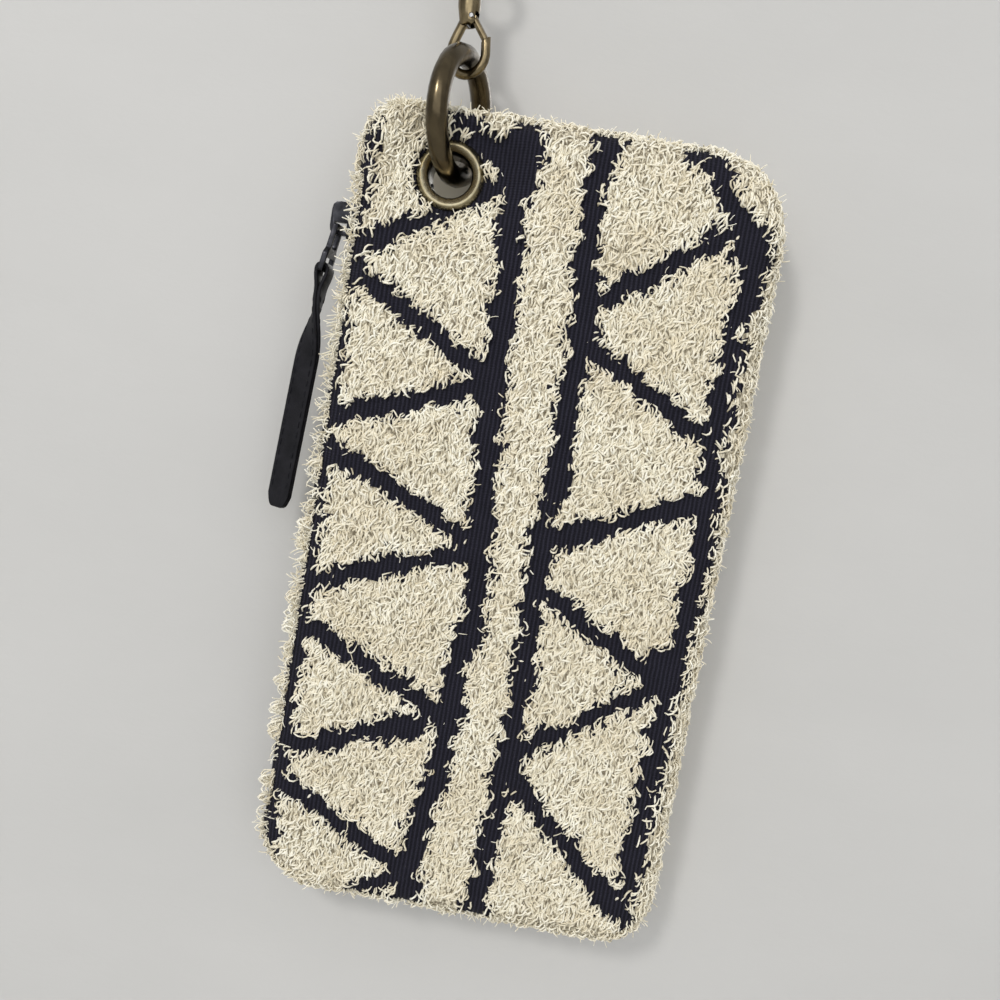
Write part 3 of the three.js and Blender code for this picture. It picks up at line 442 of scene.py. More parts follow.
def add_bump(tree, shader, height, strength, distance, **under):
    """Bump from a height, at a distance in millimetres, on top of another bump's Normal if there is one."""
    bump = node(tree, "Bump", {"Strength": strength, "Distance": distance * MM, "Height": height, **under})
    fill(tree, shader, {"Normal": bump.outputs["Normal"]})
    return bump.outputs["Normal"]


def yarn_material():
    """Cream yarn, with a tone for each strand and paler and darker patches; the tone also carries painted
    shade.
    """
    made, tree, shader = material("cream_yarn", (0.86, 0.81, 0.66), 0.9, specular=0.2)
    # The tone attribute holds painted shade: low strands and each strand's ends darker, high tops lighter
    by_strand = ramp(tree, node(tree, "Attribute", {}, attribute_name="tone").outputs["Fac"], [
        (0.0, (0.55, 0.48, 0.34)), (0.4, (0.85, 0.795, 0.64)), (1.0, (0.97, 0.945, 0.84)),
    ])
    patches = ramp(tree, noise(tree, coordinates(tree), 0.11), [
        (0.35, (0.92, 0.89, 0.84)), (0.62, (1.0, 1.0, 1.0)),
    ])
    fill(tree, shader, {"Base Color": multiplied(tree, by_strand, patches)})
    add_bump(tree, shader, noise(tree, coordinates(tree, (1, 1, 0.4)), 4.5, 2.0), 0.5, 0.2)
    return made


def bed_material():
    """The short yarn between the strands, which is seen in the gaps alone, painted dark as painted shade deep
    between the strands.
    """
    made, tree, shader = material("cream_bed_painted_shade", (0.3, 0.26, 0.19), 1.0, specular=0.1)
    # Painted shade: the bed's cream is painted far darker than the strands, with darker streaks still
    yarn = noise(tree, coordinates(tree, (1, 1, 0.35)), 2.0, 2.0)
    colour = ramp(tree, yarn, [
        (0.38, (0.17, 0.145, 0.1)), (0.52, (0.5, 0.445, 0.33)), (0.66, (0.8, 0.745, 0.6)),
    ])
    fill(tree, shader, {"Base Color": colour})
    add_bump(tree, shader, yarn, 1.0, 0.7)
    return made


def weave_material(name, dark, light, ribs_per_mm=0.95):
    """A dark ribbed weave, with its ribs along the pouch."""
    made, tree, shader = material(name, dark, 0.9, specular=0.15)
    place = coordinates(tree)
    ribs = wave(tree, place, ribs_per_mm, "X", 1.2)
    weft = wave(tree, place, 1.7 * ribs_per_mm, "Z", 1.5)
    both = node(tree, "Math", {0: weft, 1: 0.45, 2: ribs}, operation="MULTIPLY_ADD").outputs[0]
    worn = ramp(tree, noise(tree, place, 0.2, 4.0), [(0.3, (0.8, 0.8, 0.8)), (0.7, (1.0, 1.0, 1.0))])
    threads = ramp(tree, ribs, [(0.2, dark), (0.95, light)])
    fill(tree, shader, {"Base Color": multiplied(tree, threads, worn)})
    add_bump(tree, shader, both, 0.6, 0.3)
    return made


# The reach of a colour ramp of painted shade and painted highlight over the distance from the grommet's axis
PAINTED_RINGS_SPAN = 10


def metal_material(name, dark, bright, roughness, spots=0.35, spread=0.1, rings=()):
    """A metal with stains and a varied polish. rings are painted light and shade by the distance from the
    grommet's axis.
    """
    made, tree, shader = material(name, bright, roughness, 1.0)
    place = coordinates(tree)
    stains_and_painted_light = ramp(tree, noise(tree, place, spots, 5.0), [(0.35, dark), (0.66, bright)])
    if rings:
        # Painted shade and painted highlight in rings round the grommet's axis, laid over the stains
        away = node(tree, "VectorMath", {0: place, 1: GROMMET / MM}, operation="SUBTRACT").outputs["Vector"]
        scale = (1 / PAINTED_RINGS_SPAN, 0.0, 1 / PAINTED_RINGS_SPAN)
        flat = node(tree, "VectorMath", {0: away, 1: scale}, operation="MULTIPLY").outputs["Vector"]
        radius = node(tree, "VectorMath", {0: flat}, operation="LENGTH").outputs["Value"]
        painted_shades = ramp(tree, radius, [(r / PAINTED_RINGS_SPAN, (shade,) * 3) for r, shade in rings])
        stains_and_painted_light = multiplied(tree, stains_and_painted_light, painted_shades)
    fill(tree, shader, {"Base Color": stains_and_painted_light})
    low, high = max(roughness - spread, 0.04), roughness + spread
    polish = node(tree, "MapRange", {"To Min": low, "To Max": high, "Value": noise(tree, place, 1.1, 4.0)})
    fill(tree, shader, {"Roughness": polish.outputs["Result"]})
    add_bump(tree, shader, noise(tree, place, 2.2), 0.08, 0.04)
    return made


def leather_material():
    """Black leather with a fine grain, soft dents and worn patches."""
    made, tree, shader = material("black_leather", (0.012, 0.0115, 0.014), 0.62, specular=0.14)
    place = coordinates(tree)
    cells = node(tree, "TexVoronoi", {"Scale": 1.7, "Vector": place}, feature="DISTANCE_TO_EDGE")
    grain = add_bump(tree, shader, cells.outputs["Distance"], 0.5, 0.12)
    add_bump(tree, shader, noise(tree, place, 0.5), 0.35, 0.3, Normal=grain)
    worn = ramp(tree, noise(tree, place, 0.25), [
        (0.3, (0.006, 0.006, 0.0075)), (0.75, (0.014, 0.0135, 0.0165)),
    ])
    fill(tree, shader, {"Base Color": worn})
    return made


YARN = yarn_material()
BED_PAINTED_SHADE = bed_material()
NAVY = weave_material("navy_weave", (0.0085, 0.0082, 0.0135), (0.022, 0.0212, 0.033))
LINING_CLOTH = weave_material("lining_cloth", (0.016, 0.016, 0.02), (0.03, 0.03, 0.037))
TAPE_WEAVE = weave_material("zip_tape", (0.007, 0.007, 0.009), (0.017, 0.017, 0.021), 1.6)
TEETH = metal_material("zip_teeth", (0.012, 0.012, 0.013), (0.03, 0.03, 0.032), 0.4)
BLACK_METAL = metal_material("black_metal", (0.014, 0.014, 0.016), (0.045, 0.045, 0.05), 0.32)
# The grommet's brass: painted shade in its bore and on its outer flange, leaving a bright ring as a painted
# highlight on the crest
BRASS = metal_material(
    "bright_brass", (0.9, 0.78, 0.5), (1.0, 0.92, 0.68), 0.26, 0.5, 0.03,
    [(5.2, 0.05), (5.35, 0.3), (5.6, 1.0), (7.05, 1.0), (7.35, 0.3), (8.5, 0.25)],
)
ANTIQUE = metal_material("antique_brass", (0.06, 0.047, 0.029), (0.115, 0.09, 0.053), 0.22, 0.15, 0.05)
CLASP = metal_material("clasp_brass", (0.13, 0.101, 0.058), (0.27, 0.213, 0.124), 0.2, 0.25, 0.05)
STEEL = metal_material("spring_steel", (0.35, 0.35, 0.36), (0.6, 0.6, 0.6), 0.3)
LEATHER = leather_material()


def dress(piece, finish, slot, body, *nodes):
    """Gives a piece its material and body, and hides the CAD nodes that it stands for; slot is not used."""
    piece.data.materials.append(finish)
    if nodes:
        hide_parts(*nodes)
    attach(piece, body)


FACES = ((-1, "front"), (1, "back"))


# ---- cloth and lining


# The pile's bed rises by PILE_RISE, over a way from the lines and the flange, and less toward the rim
PILE_RISE, RISE_FROM_LINE, RISE_FROM_FLANGE, FULL_RISE_HEIGHT, RISE_WANDER = 0.8, 0.8, 1.5, 4.0, 0.25
# Under the flange the cloth is pressed in, from a little outside it
PRESSED, PRESSED_FROM, PRESSED_RUN = 0.35, 1.0, 0.8
SEAM_HALF_GAP, WELL_INSIDE, SEWING_ROOM = 0.15, 0.98, 0.2


def cloth_face(name, side, depth, rim_steps, across, along, thickness, raised):
    """One face of the pouch as cloth with a real thickness, and which of its quads lie well inside the pile.

    side is -1 for the front and 1 for the back.
    """
    x, z, quads = face_grid(depth, rim_steps, across, along)
    y = half_thickness(x, z, depth)
    pile = np.clip(from_lines(x, z) / RISE_FROM_LINE, 0, 1) if raised else np.zeros_like(x)
    r = from_grommet(x, z)
    pile = pile * np.clip((r - SEAT_RADIUS) / RISE_FROM_FLANGE, 0, 1)
    y = y - PRESSED * np.clip((SEAT_RADIUS + PRESSED_FROM - r) / PRESSED_RUN, 0, 1)
    lift = raised * pile * np.clip(y / FULL_RISE_HEIGHT, 0, 1) * (1 + wander(z, x, RISE_WANDER))
    middle_x, middle_z, middle_y = (values[quads].mean(axis=1) for values in (x, z, y))
    mouth = (middle_z > MOUTH_TOP) & (middle_z < MOUTH_BOTTOM)
    mouth &= (middle_x < EDGE + 1) & (middle_y < MOUTH_HALF)
    hole = from_grommet(middle_x, middle_z) < BORE_RADIUS
    used, quads = np.unique(quads[~mouth & ~hole], return_inverse=True)
    quads = quads.reshape(-1, 4)
    x, y, z, lift, pile = x[used], y[used], z[used], lift[used], pile[used]
    points = np.stack([x, side * np.maximum(y + lift, SEAM_HALF_GAP), -z], axis=1)
    if side > 0:
        quads = quads[:, ::-1]
    obj = new_object(name, to_world(points), quads)
    shell = obj.modifiers.new("thickness", "SOLIDIFY")
    shell.thickness = thickness * MM
    shell.offset = -1
    return obj, pile[quads].min(axis=1) > WELL_INSIDE


for side, face in FACES:
    cloth, piled = cloth_face(f"{face}_cloth", side, 0.0, 8, 110, 210, CLOTH - SEWING_ROOM, PILE_RISE)
    dress(cloth, NAVY, "tufted_cloth", "pouch", f"{face}_panel")
    # Well inside the pile the cloth shows the bed, cream yarn painted dark as painted shade between the
    # strands
    cloth.data.materials.append(BED_PAINTED_SHADE)
    cloth.data.polygons.foreach_set("material_index", piled.astype(np.int32))
    lining, _ = cloth_face(f"{face}_lining_cloth", side, LINING_DEPTH, 5, 40, 70, LINING - SEWING_ROOM, 0.0)
    dress(lining, LINING_CLOTH, "lining", "pouch", f"{face}_lining")


# ---- yarn pile


def jittered(spacing_x, spacing_z):
    """Places on the cloth in offset rows, each moved a little at random."""
    xs = np.arange(0, WIDTH, spacing_x)
    zs = np.arange(0, LENGTH, spacing_z)
    x, z = np.meshgrid(xs, zs, indexing="ij")
    z = z + (np.arange(len(xs)) % 2)[:, None] * spacing_z / 2
    x = x + rng.uniform(-0.5, 0.5, x.shape) * spacing_x
    z = z + rng.uniform(-0.5, 0.5, z.shape) * spacing_z
    return x.ravel(), z.ravel()


def one_in_each(rows, count):
    """Shares along count places and across rows, at random in each cell."""
    along = (np.arange(count)[None, :] + rng.random((rows, count))) / count
    across = (np.arange(rows)[:, None] + rng.random((rows, count))) / rows
    return along.ravel(), across.ravel()


ZIP_CLEAR, ZIP_CLEAR_HEIGHT = 2, 1.2


def zip_clear(points):
    """True away from the zip's mouth and what slides along it."""
    x, y, z = points[:, 0], np.abs(points[:, 1]), -points[:, 2]
    beside = (z > MOUTH_TOP - ZIP_CLEAR) & (z < MOUTH_BOTTOM + ZIP_CLEAR)
    return ~(beside & (x < EDGE + ZIP_CLEAR) & (y < MOUTH_HALF + ZIP_CLEAR_HEIGHT))


def grommet_clear(x, z):
    """True outside the grommet's flange."""
    return from_grommet(x, z) > SEAT_RADIUS


# How far the strands lean, in radians: all, by tufts and one by one, and how finely the tufts change
LEAN, LEAN_FIELD, LEAN_SPREAD, TUFT_SCALE = 0.2, 0.6, 0.3, 0.55
# How far a strand may lie over a navy line, and how much it is drawn back and shortened past that
OVERHANG, MOST_OVER, DRAWN_BACK, SHORTEST = 0.5, 3, 0.9, 1.2
# Where the lean's way runs nearly along the normal, a strand takes a spare way
FACES_SIDEWAYS, LEAST_ALONG, TINY = 0.9, 0.3, 1e-6
STRAND_RINGS, ARCH_POWER, SKEW, S_CURL, LOWEST, END_RADIUS = 5, 2.6, 0.2, 0.6, 0.1, 0.7
HUMP, HUMP_SCALE, HUMP_SHIFT = 0.35, 1.1, 3
FRINGE_RINGS, FRINGE_TURN, FRINGE_ROOT, FRINGE_TIP = 6, (0.6, 2.6), 0.3, 0.6
# The tone of the yarn, from 0 to 1: mean and spread, and the painted shade by a strand's height: low strands
# and strand ends darker, high tops lighter
STRAND_TONE, FRINGE_TONE, PAINTED_SHADE_BY_HEIGHT = (0.56, 0.15), (0.62, 0.16), 0.25


def drawn_in(points, along, length):
    """Moves and shortens strands whose ends would lie far over a navy line."""
    over = []
    for end in (0.5, -0.5):
        tip = points + along * length * end
        over.append(np.clip(-from_lines(tip[:, 0], -tip[:, 2]) - OVERHANG, 0, MOST_OVER)[:, None])
    shorter = np.maximum(length - np.minimum(*over), SHORTEST)
    return points + along * (over[1] - over[0]) * DRAWN_BACK, shorter


def strands(name, points, normals, long, tall, thick, low, curl, tidy=True, tangled=0.13):
    """Yarn loops that arch over the cloth along the pouch, in tangled tufts.

    long, tall and thick are ranges, low is the ends' height and curl the bow sideways.
    """
    n = len(points)
    tufts = wander(TUFT_SCALE * points[:, 0], TUFT_SCALE * points[:, 2], 1.0)
    lean = LEAN + LEAN_FIELD * tufts + rng.normal(0, LEAN_SPREAD, n)
    lean = np.where(rng.random(n) < tangled, rng.uniform(-np.pi / 2, np.pi / 2, n), lean)
    down = np.stack([np.sin(lean), np.zeros(n), np.cos(lean)], axis=1)
    along = down - normals * np.sum(down * normals, axis=1, keepdims=True)
    size = np.linalg.norm(along, axis=1, keepdims=True)
    spare = np.cross(normals, [1.0, 0.0, 0.0])
    spare = np.where(np.abs(normals[:, :1]) > FACES_SIDEWAYS, [0.0, 0.0, 1.0], spare)
    along = np.where(size > LEAST_ALONG, along / np.maximum(size, TINY), unit(spare))
    side = np.cross(normals, along)
    t = np.linspace(-1, 1, STRAND_RINGS)
    arch = 1 - np.abs(t) ** ARCH_POWER
    length = rng.uniform(*long, (n, 1))
    if tidy:
        points, length = drawn_in(points, along, length)
    hump = wander(HUMP_SCALE * points[:, 0] + HUMP_SHIFT, HUMP_SCALE * points[:, 2], HUMP)[:, None]
    top = rng.uniform(*tall, (n, 1))
    height = low + hump + (top - low) * arch
    skew = rng.uniform(-SKEW, SKEW, (n, 1)) * arch
    bow = rng.normal(0, curl, (n, 1)) * arch + rng.normal(0, S_CURL * curl, (n, 1)) * np.sin(np.pi * t)
    path = (
        points[:, None]
        + along[:, None] * ((t / 2 + skew) * length)[:, :, None]
        + normals[:, None] * np.maximum(height, LOWEST)[:, :, None]
        + side[:, None] * bow[:, :, None]
    )
    fullness = END_RADIUS + (1 - END_RADIUS) * np.sqrt(np.clip(arch, 0, 1))
    taper = rng.uniform(*thick, (n, 1)) * fullness
    tone = rng.normal(*STRAND_TONE, (n, 1))
    # Painted shade: lower strands and each strand's ends are made darker, higher tops lighter
    tone = tone + PAINTED_SHADE_BY_HEIGHT * (top - np.mean(tall)) - PAINTED_SHADE_BY_HEIGHT * (1 - arch)
    return tubes(name, to_world(path), taper * MM, side, tone=tone)


def fringe(name, points, normals, long, thick, spread):
    """Loose ends that stand out from the cloth and curl over. long and thick are ranges."""
    n = len(points)
    out = unit(normals + rng.normal(0, spread, (n, 3)))
    side = unit(np.cross(out, rng.normal(0, 1, (n, 3))))
    bend = np.cross(side, out)
    length = rng.uniform(*long, (n, 1))
    turn = rng.uniform(*FRINGE_TURN, (n, 1)) * np.linspace(0, 1, FRINGE_RINGS)
    total = np.maximum(turn[:, -1:], TINY)
    path = (
        points[:, None] + FRINGE_ROOT * normals[:, None]
        + out[:, None] * (length * np.sin(turn) / total)[:, :, None]
        + bend[:, None] * (length * (1 - np.cos(turn)) / total)[:, :, None]
    )
    taper = rng.uniform(*thick, (n, 1)) * np.linspace(1, FRINGE_TIP, FRINGE_RINGS)
    tone = np.repeat(rng.normal(*FRINGE_TONE, (n, 1)), FRINGE_RINGS, axis=1)
    return tubes(name, to_world(path), taper * MM, side, tone=tone)


# The kinds of loops and of loose ends, in millimetres
FIELD_LOOPS = dict(long=(2.0, 3.7), tall=(1.4, 2.6), thick=(0.185, 0.265), low=0.5, curl=0.55)
RIM_LOOPS = dict(
    long=(2.2, 4.0), tall=(1.3, 2.5), thick=(0.19, 0.28), low=0.5, curl=0.5, tidy=False, tangled=0.25,
)
ZIP_LOOPS = dict(
    long=(1.8, 3.4), tall=(1.0, 4.4), thick=(0.19, 0.28), low=0.6, curl=0.6, tidy=False, tangled=0.45,
)
SPECKS = dict(long=(0.7, 1.7), tall=(0.4, 0.8), thick=(0.2, 0.36), low=0.1, curl=0.2, tidy=False)
RIM_ENDS = dict(long=(2.0, 4.2), thick=(0.14, 0.24), spread=0.45)
CORNER_ENDS = dict(long=(2.4, 4.6), thick=(0.15, 0.24), spread=0.3)
FIELD_ENDS = dict(long=(1.6, 3.6), thick=(0.12, 0.21), spread=0.8)
ZIP_ENDS = dict(long=(2.6, 5.6), thick=(0.17, 0.25), spread=0.3)

# Where they stand on a face: spacing or number, and distances from the rim and from the lines' edges
PILE_PARTS, LOOP_SPACING, LINE_EDGE, FIELD_INSET = 6, (0.5, 0.9), (-0.2, 0.7), EDGE - 1.0
RIM_ROWS, RIM_COUNT, RIM_ALL_PILED = 10, 500, 1.0
RIM_END_COUNT, RIM_END_ANGLE = 1500, 0.9
CORNER_COUNT, CORNER_X, CORNER_Z, CORNER_WAY = 130, (4, 15), (1.2, 3.4), (-0.15, 0.3, 0.94)
TRIES, TRY_INSET, END_FROM_LINE, END_BAND, SPECK_FROM_LINE, SPECK_SHARE = 7000, 4, 0.4, 0.5, -0.5, 0.05


def all_toward(way, side, count):
    """One direction for many strands: (right, out of the face, up)."""
    return np.tile([way[0], side * way[1], way[2]], (count, 1))


def pile_on(face, side):
    """All the yarn of one face, in pieces of a modest size."""
    pieces = []
    x, z = jittered(*LOOP_SPACING)
    piled = from_lines(x, z) > rng.uniform(*LINE_EDGE, len(x))
    keep = (inset_of(x, z) > FIELD_INSET) & piled & grommet_clear(x, z)
    points, normals = surface_at(x[keep], z[keep], side)
    parts = np.floor(-points[:, 2] / LENGTH * PILE_PARTS)
    for part in range(PILE_PARTS):
        here = parts == part
        pieces.append(strands(f"{face}_pile_{part + 1}", points[here], normals[here], **FIELD_LOOPS))

    share, quarter = one_in_each(RIM_ROWS, RIM_COUNT)
    points, normals = rim_at(share, quarter * math.pi / 2, side)
    x, z = points[:, 0], -points[:, 2]
    piled = (from_lines(x, z) > 0) | (inset_of(x, z) < RIM_ALL_PILED)
    keep = piled & zip_clear(points) & grommet_clear(x, z)
    pieces.append(strands(f"{face}_pile_rim", points[keep], normals[keep], **RIM_LOOPS))

    share, angle = rng.random(RIM_END_COUNT), rng.uniform(0, RIM_END_ANGLE, RIM_END_COUNT)
    points, normals = rim_at(share, angle, side)
    keep = zip_clear(points) & grommet_clear(points[:, 0], -points[:, 2])
    pieces.append(fringe(f"{face}_fringe", points[keep], normals[keep], **RIM_ENDS))

    x, z = rng.uniform(*CORNER_X, CORNER_COUNT), rng.uniform(*CORNER_Z, CORNER_COUNT)
    points, _ = surface_at(x, z, side)
    normals = all_toward(CORNER_WAY, side, CORNER_COUNT)
    pieces.append(fringe(f"{face}_corner_tuft", points, normals, **CORNER_ENDS))

    x = rng.uniform(TRY_INSET, WIDTH - TRY_INSET, TRIES)
    z = rng.uniform(TRY_INSET, LENGTH - TRY_INSET, TRIES)
    edge = from_lines(x, z)
    loose = (np.abs(edge - END_FROM_LINE) < END_BAND) & grommet_clear(x, z)
    pieces.append(fringe(f"{face}_loose_ends", *surface_at(x[loose], z[loose], side), **FIELD_ENDS))
    specks = (edge < SPECK_FROM_LINE) & (rng.random(TRIES) < SPECK_SHARE) & grommet_clear(x, z)
    pieces.append(strands(f"{face}_specks", *surface_at(x[specks], z[specks], side), **SPECKS))
    return pieces


for side, face in FACES:
    for piece in pile_on(face, side):
        dress(piece, YARN, "tufted_cloth", "pouch")


# ---- zip

leaf_low, leaf_high = (to_cloth(corner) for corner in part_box("zip_leaf_front"))
TAPE_X = (leaf_low[0] + leaf_high[0]) / 2
LEAF_EDGE = -leaf_low[1]
LEAF_TOP, LEAF_BOTTOM = leaf_high[2], leaf_low[2]
LEAF_MIDDLE = (LEAF_TOP + LEAF_BOTTOM) / 2
RISER_Y = LEAF_EDGE - TAPE / 2
TOOTH_X = to_cloth((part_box("zip_teeth_front")[0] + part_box("zip_teeth_front")[1]) / 2)[0]

# Where the sewn margin starts, in degrees up the rim, and the ends' fold and gap to the leaves
MARGIN_FROM, FOLD, END_GAP = 75, 0.4, 0.05


def ribbon(name, line, side, heights):
    """A strip of tape: a line across the pouch, as (x, y) places on one face, drawn along the pouch."""
    line = np.asarray(line, float)
    step = unit(np.gradient(line, axis=0))
    across = np.stack([-step[:, 1], step[:, 0]], axis=1) * (TAPE / 2)
    section = np.concatenate([line + across, (line - across)[::-1]])
    x, y = section[:, 0], side * section[:, 1]
    return loft(name, to_world([np.column_stack([x, y, np.full(len(section), z)]) for z in heights]))


def sewn_tape(face, side):
    """The tape that stays: the margin under the cloth, the part that stands in the mouth, and the ends."""
    deep, high = EDGE - TAPE_DEPTH, HALF_THICKNESS - TAPE_DEPTH
    angle = np.radians(np.linspace(MARGIN_FROM, math.degrees(math.asin(MOUTH_HALF / high)), 7))
    margin = np.column_stack([TAPE_DEPTH + deep * (1 - np.cos(angle)), high * np.sin(angle)])
    sewn_x = margin[-1, 0]
    top, bottom = -MOUTH_TOP - TAPE_GAP, -MOUTH_BOTTOM + TAPE_GAP
    foot = [(sewn_x, RISER_Y), (TAPE_X + TAPE / 2 + TAPE_GAP, RISER_Y)]
    end = [(sewn_x - TAPE, RISER_Y), (TAPE_X, RISER_Y), (TAPE_X, RISER_Y - FOLD), (TAPE_X, TAPE_PARTING)]
    return joined(f"zip_tape_{face}_cloth", [
        ribbon("margin", [*margin, *foot], side, np.linspace(bottom, top, 40)),
        ribbon("top", end, side, np.linspace(LEAF_TOP + END_GAP, top, 8)),
        ribbon("bottom", end, side, np.linspace(bottom, LEAF_BOTTOM - END_GAP, 8)),
    ])


def teeth_row(name, side, low, high):
    """Moulded teeth with rounded heads that reach past the middle between the other row's stems."""
    phase = 0 if side < 0 else TOOTH_PITCH / 2
    first = math.ceil((low + TOOTH_HEAD - phase) / TOOTH_PITCH)
    z = np.arange(phase + first * TOOTH_PITCH, high - TOOTH_HEAD, TOOTH_PITCH)
    along = np.array([TOOTH_ROOT, TOOTH_ROOT - 0.2, 0.5, 0.0, -0.45, -TOOTH_REACH])
    radius = np.array([0.7 * TOOTH_STEM, TOOTH_STEM, TOOTH_STEM, TOOTH_HEAD, TOOTH_HEAD, 0.55 * TOOTH_HEAD])
    path = np.zeros((len(z), len(along), 3))
    path[:, :, 0], path[:, :, 1], path[:, :, 2] = TOOTH_X, side * along, z[:, None]
    sideways = np.tile([1.0, 0, 0], (len(z), 1))
    return tubes(name, to_world(path), np.tile(radius * MM, (len(z), 1)), sideways, 8)


def opens_with(piece):
    """Bakes a piece of the zip's transform into its vertices."""
    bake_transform(piece)


for side, face in FACES:
    dress(sewn_tape(face, side), TAPE_WEAVE, "zip_tape", "pouch", f"zip_tape_{face}")
    strip = [(TAPE_X, y) for y in np.linspace(LEAF_EDGE, TAPE_PARTING, 6)]
    end_low, end_high = (to_cloth(corner)[2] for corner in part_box(f"zip_end_teeth_{face}"))
    dress(teeth_row(f"zip_last_teeth_{face}", side, end_low, end_high), TEETH, "zip_teeth", "pouch",
          f"zip_end_teeth_{face}")
    for half, end, toward in (("upper", LEAF_TOP, -1), ("lower", LEAF_BOTTOM, 1)):
        heights = np.linspace(end, LEAF_MIDDLE, 50)
        tape = ribbon(f"zip_leaf_{face}_{half}", strip, side, heights)
        teeth = teeth_row(f"zip_teeth_{face}_{half}", side, min(end, LEAF_MIDDLE), max(end, LEAF_MIDDLE))
        for piece, finish, slot, cad_node in (
            (tape, TAPE_WEAVE, "zip_tape", f"zip_leaf_{face}"),
            (teeth, TEETH, "zip_teeth", f"zip_teeth_{face}"),
        ):
            piece.data.materials.append(finish)
            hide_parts(cad_node)
            opens_with(piece)


# The yarn along the zip's edge: its run past the mouth's ends, its places, and the ways it stands out
ZIP_YARN_TOP, ZIP_YARN_RUN = MOUTH_TOP - 2, MOUTH_BOTTOM - MOUTH_TOP + 4
ZIP_YARN_X, ZIP_LOOPS_DEEP, ZIP_ENDS_X = 2.0, 0.5, 2.6
ZIP_LOOP_ROWS, ZIP_LOOP_COUNT, ZIP_LINE_X, ZIP_LINE_EDGE = 5, 300, 0.4, (0, 0.6)
ZIP_END_COUNT, ZIP_END_BETA = 620, (1.1, 1.9)
ZIP_LOOP_WAY, ZIP_END_WAY = (-0.97, 0.24, 0.0), (-0.95, 0.31, 0.0)


def zip_edge_pile(face, side):
    """The loops along the zip's edge, which stand out sideways past it."""
    down, across = one_in_each(ZIP_LOOP_ROWS, ZIP_LOOP_COUNT)
    x, z = ZIP_YARN_X + across * ZIP_LOOPS_DEEP, ZIP_YARN_TOP + down * ZIP_YARN_RUN
    keep = from_lines(np.full_like(z, ZIP_LINE_X), z) > rng.uniform(*ZIP_LINE_EDGE, len(z))
    points, _ = surface_at(x[keep], z[keep], side)
    normals = all_toward(ZIP_LOOP_WAY, side, len(points))
    return strands(f"{face}_zip_edge_pile", points, normals, **ZIP_LOOPS)


def zip_edge_fringe(face, side):
    """Longer loose ends out of the same edge, most of them beside the upper half of the zip."""
    z = ZIP_YARN_TOP + rng.beta(*ZIP_END_BETA, ZIP_END_COUNT) * ZIP_YARN_RUN
    points, _ = surface_at(rng.uniform(ZIP_YARN_X, ZIP_ENDS_X, len(z)), z, side)
    normals = all_toward(ZIP_END_WAY, side, len(points))
    return fringe(f"{face}_zip_edge_fringe", points, normals, **ZIP_ENDS)


for side, face in FACES:
    dress(zip_edge_pile(face, side), YARN, "tufted_cloth", "pouch")
    dress(zip_edge_fringe(face, side), YARN, "tufted_cloth", "pouch")


# ---- leather tab

tab_pivot = next(np.array(joint["pos_m"]) for joint in frame["joints"] if joint["name"] == "tab_swing")


def band_line():
    """The folded band's middle line as (x, z): up one layer, round the bar, and down the other."""
    layer = TAB_LAYER / 2 + 0.02
    around = TAB_BAR_HOLE + TAB_LAYER / 2 + 0.02
    end = -TAB_NECK + 0.3 - TAB_LENGTH
    tip = end + np.array([0, 0.4, 0.9, 1.6, 2.4, TAB_TIP])
    rise = np.concatenate([tip, np.linspace(end + 5, -TAB_NECK, 40)])
    up = np.column_stack([np.full(len(rise), -layer), rise])
    share = np.linspace(0, 1, 6)[1:]
    ease = share * share * (3 - 2 * share)
    spread = np.column_stack([-layer - (around - layer) * ease, -TAB_NECK + (TAB_NECK - 0.2) * share])
    turn = np.linspace(np.pi, np.pi / 2, 7)[1:]
    top = np.column_stack([around * np.cos(turn), around * np.sin(turn)])
    half = np.concatenate([up, spread, top])
    return np.concatenate([half, (half * [-1, 1])[-2::-1]])


def band_section(half_width):
    """Round-edged section of the band as (across its thickness, along its width)."""
    edge = 0.3
    turn = np.radians([0, 30, 60, 90])
    arc = np.column_stack([np.cos(turn), np.sin(turn)]) * edge
    inner = np.array([TAB_LAYER / 2 - edge, half_width - edge])
    back = inner * [-1, 1] + arc[::-1] * [-1, 1]
    return np.concatenate([inner + arc, back, -inner - arc, -back])


def hang(points):
    """Points of the hanging tab (millimetres from its pivot) with its twist and lean, to the row frame."""
    share = np.clip((-TAB_NECK + 0.3 - points[..., 2]) / TAB_TWIST_RUN, 0, 1)
    twist = np.radians(TAB_TWIST) * share * share * (3 - 2 * share)
    x = points[..., 0] * np.cos(twist) - points[..., 1] * np.sin(twist)
    y = points[..., 0] * np.sin(twist) + points[..., 1] * np.cos(twist)
    z = points[..., 2]
    cos, sin = math.cos(math.radians(TAB_LEAN)), math.sin(math.radians(TAB_LEAN))
    return np.stack([x * cos + z * sin, y, z * cos - x * sin], axis=-1) * MM + tab_pivot


def leather_tab():
    """The folded band with its tip drawn in."""
    line = band_line()
    step = unit(np.gradient(line, axis=0))
    out = np.column_stack([step[:, 1], -step[:, 0]])
    end = line[:, 1].min()
    narrow = np.clip((line[:, 1] - end) / TAB_TIP, 0, 1)
    half = (TAB_TIP_WIDTH + (TAB_WIDTH - TAB_TIP_WIDTH) * np.sqrt(narrow)) / 2
    rings = []
    for (x, z), (ox, oz), width in zip(line, out, half):
        section = band_section(width)
        rings.append(np.column_stack([x + ox * section[:, 0], section[:, 1], z + oz * section[:, 0]]))
    return loft("pull_tab_leather", hang(np.array(rings)))


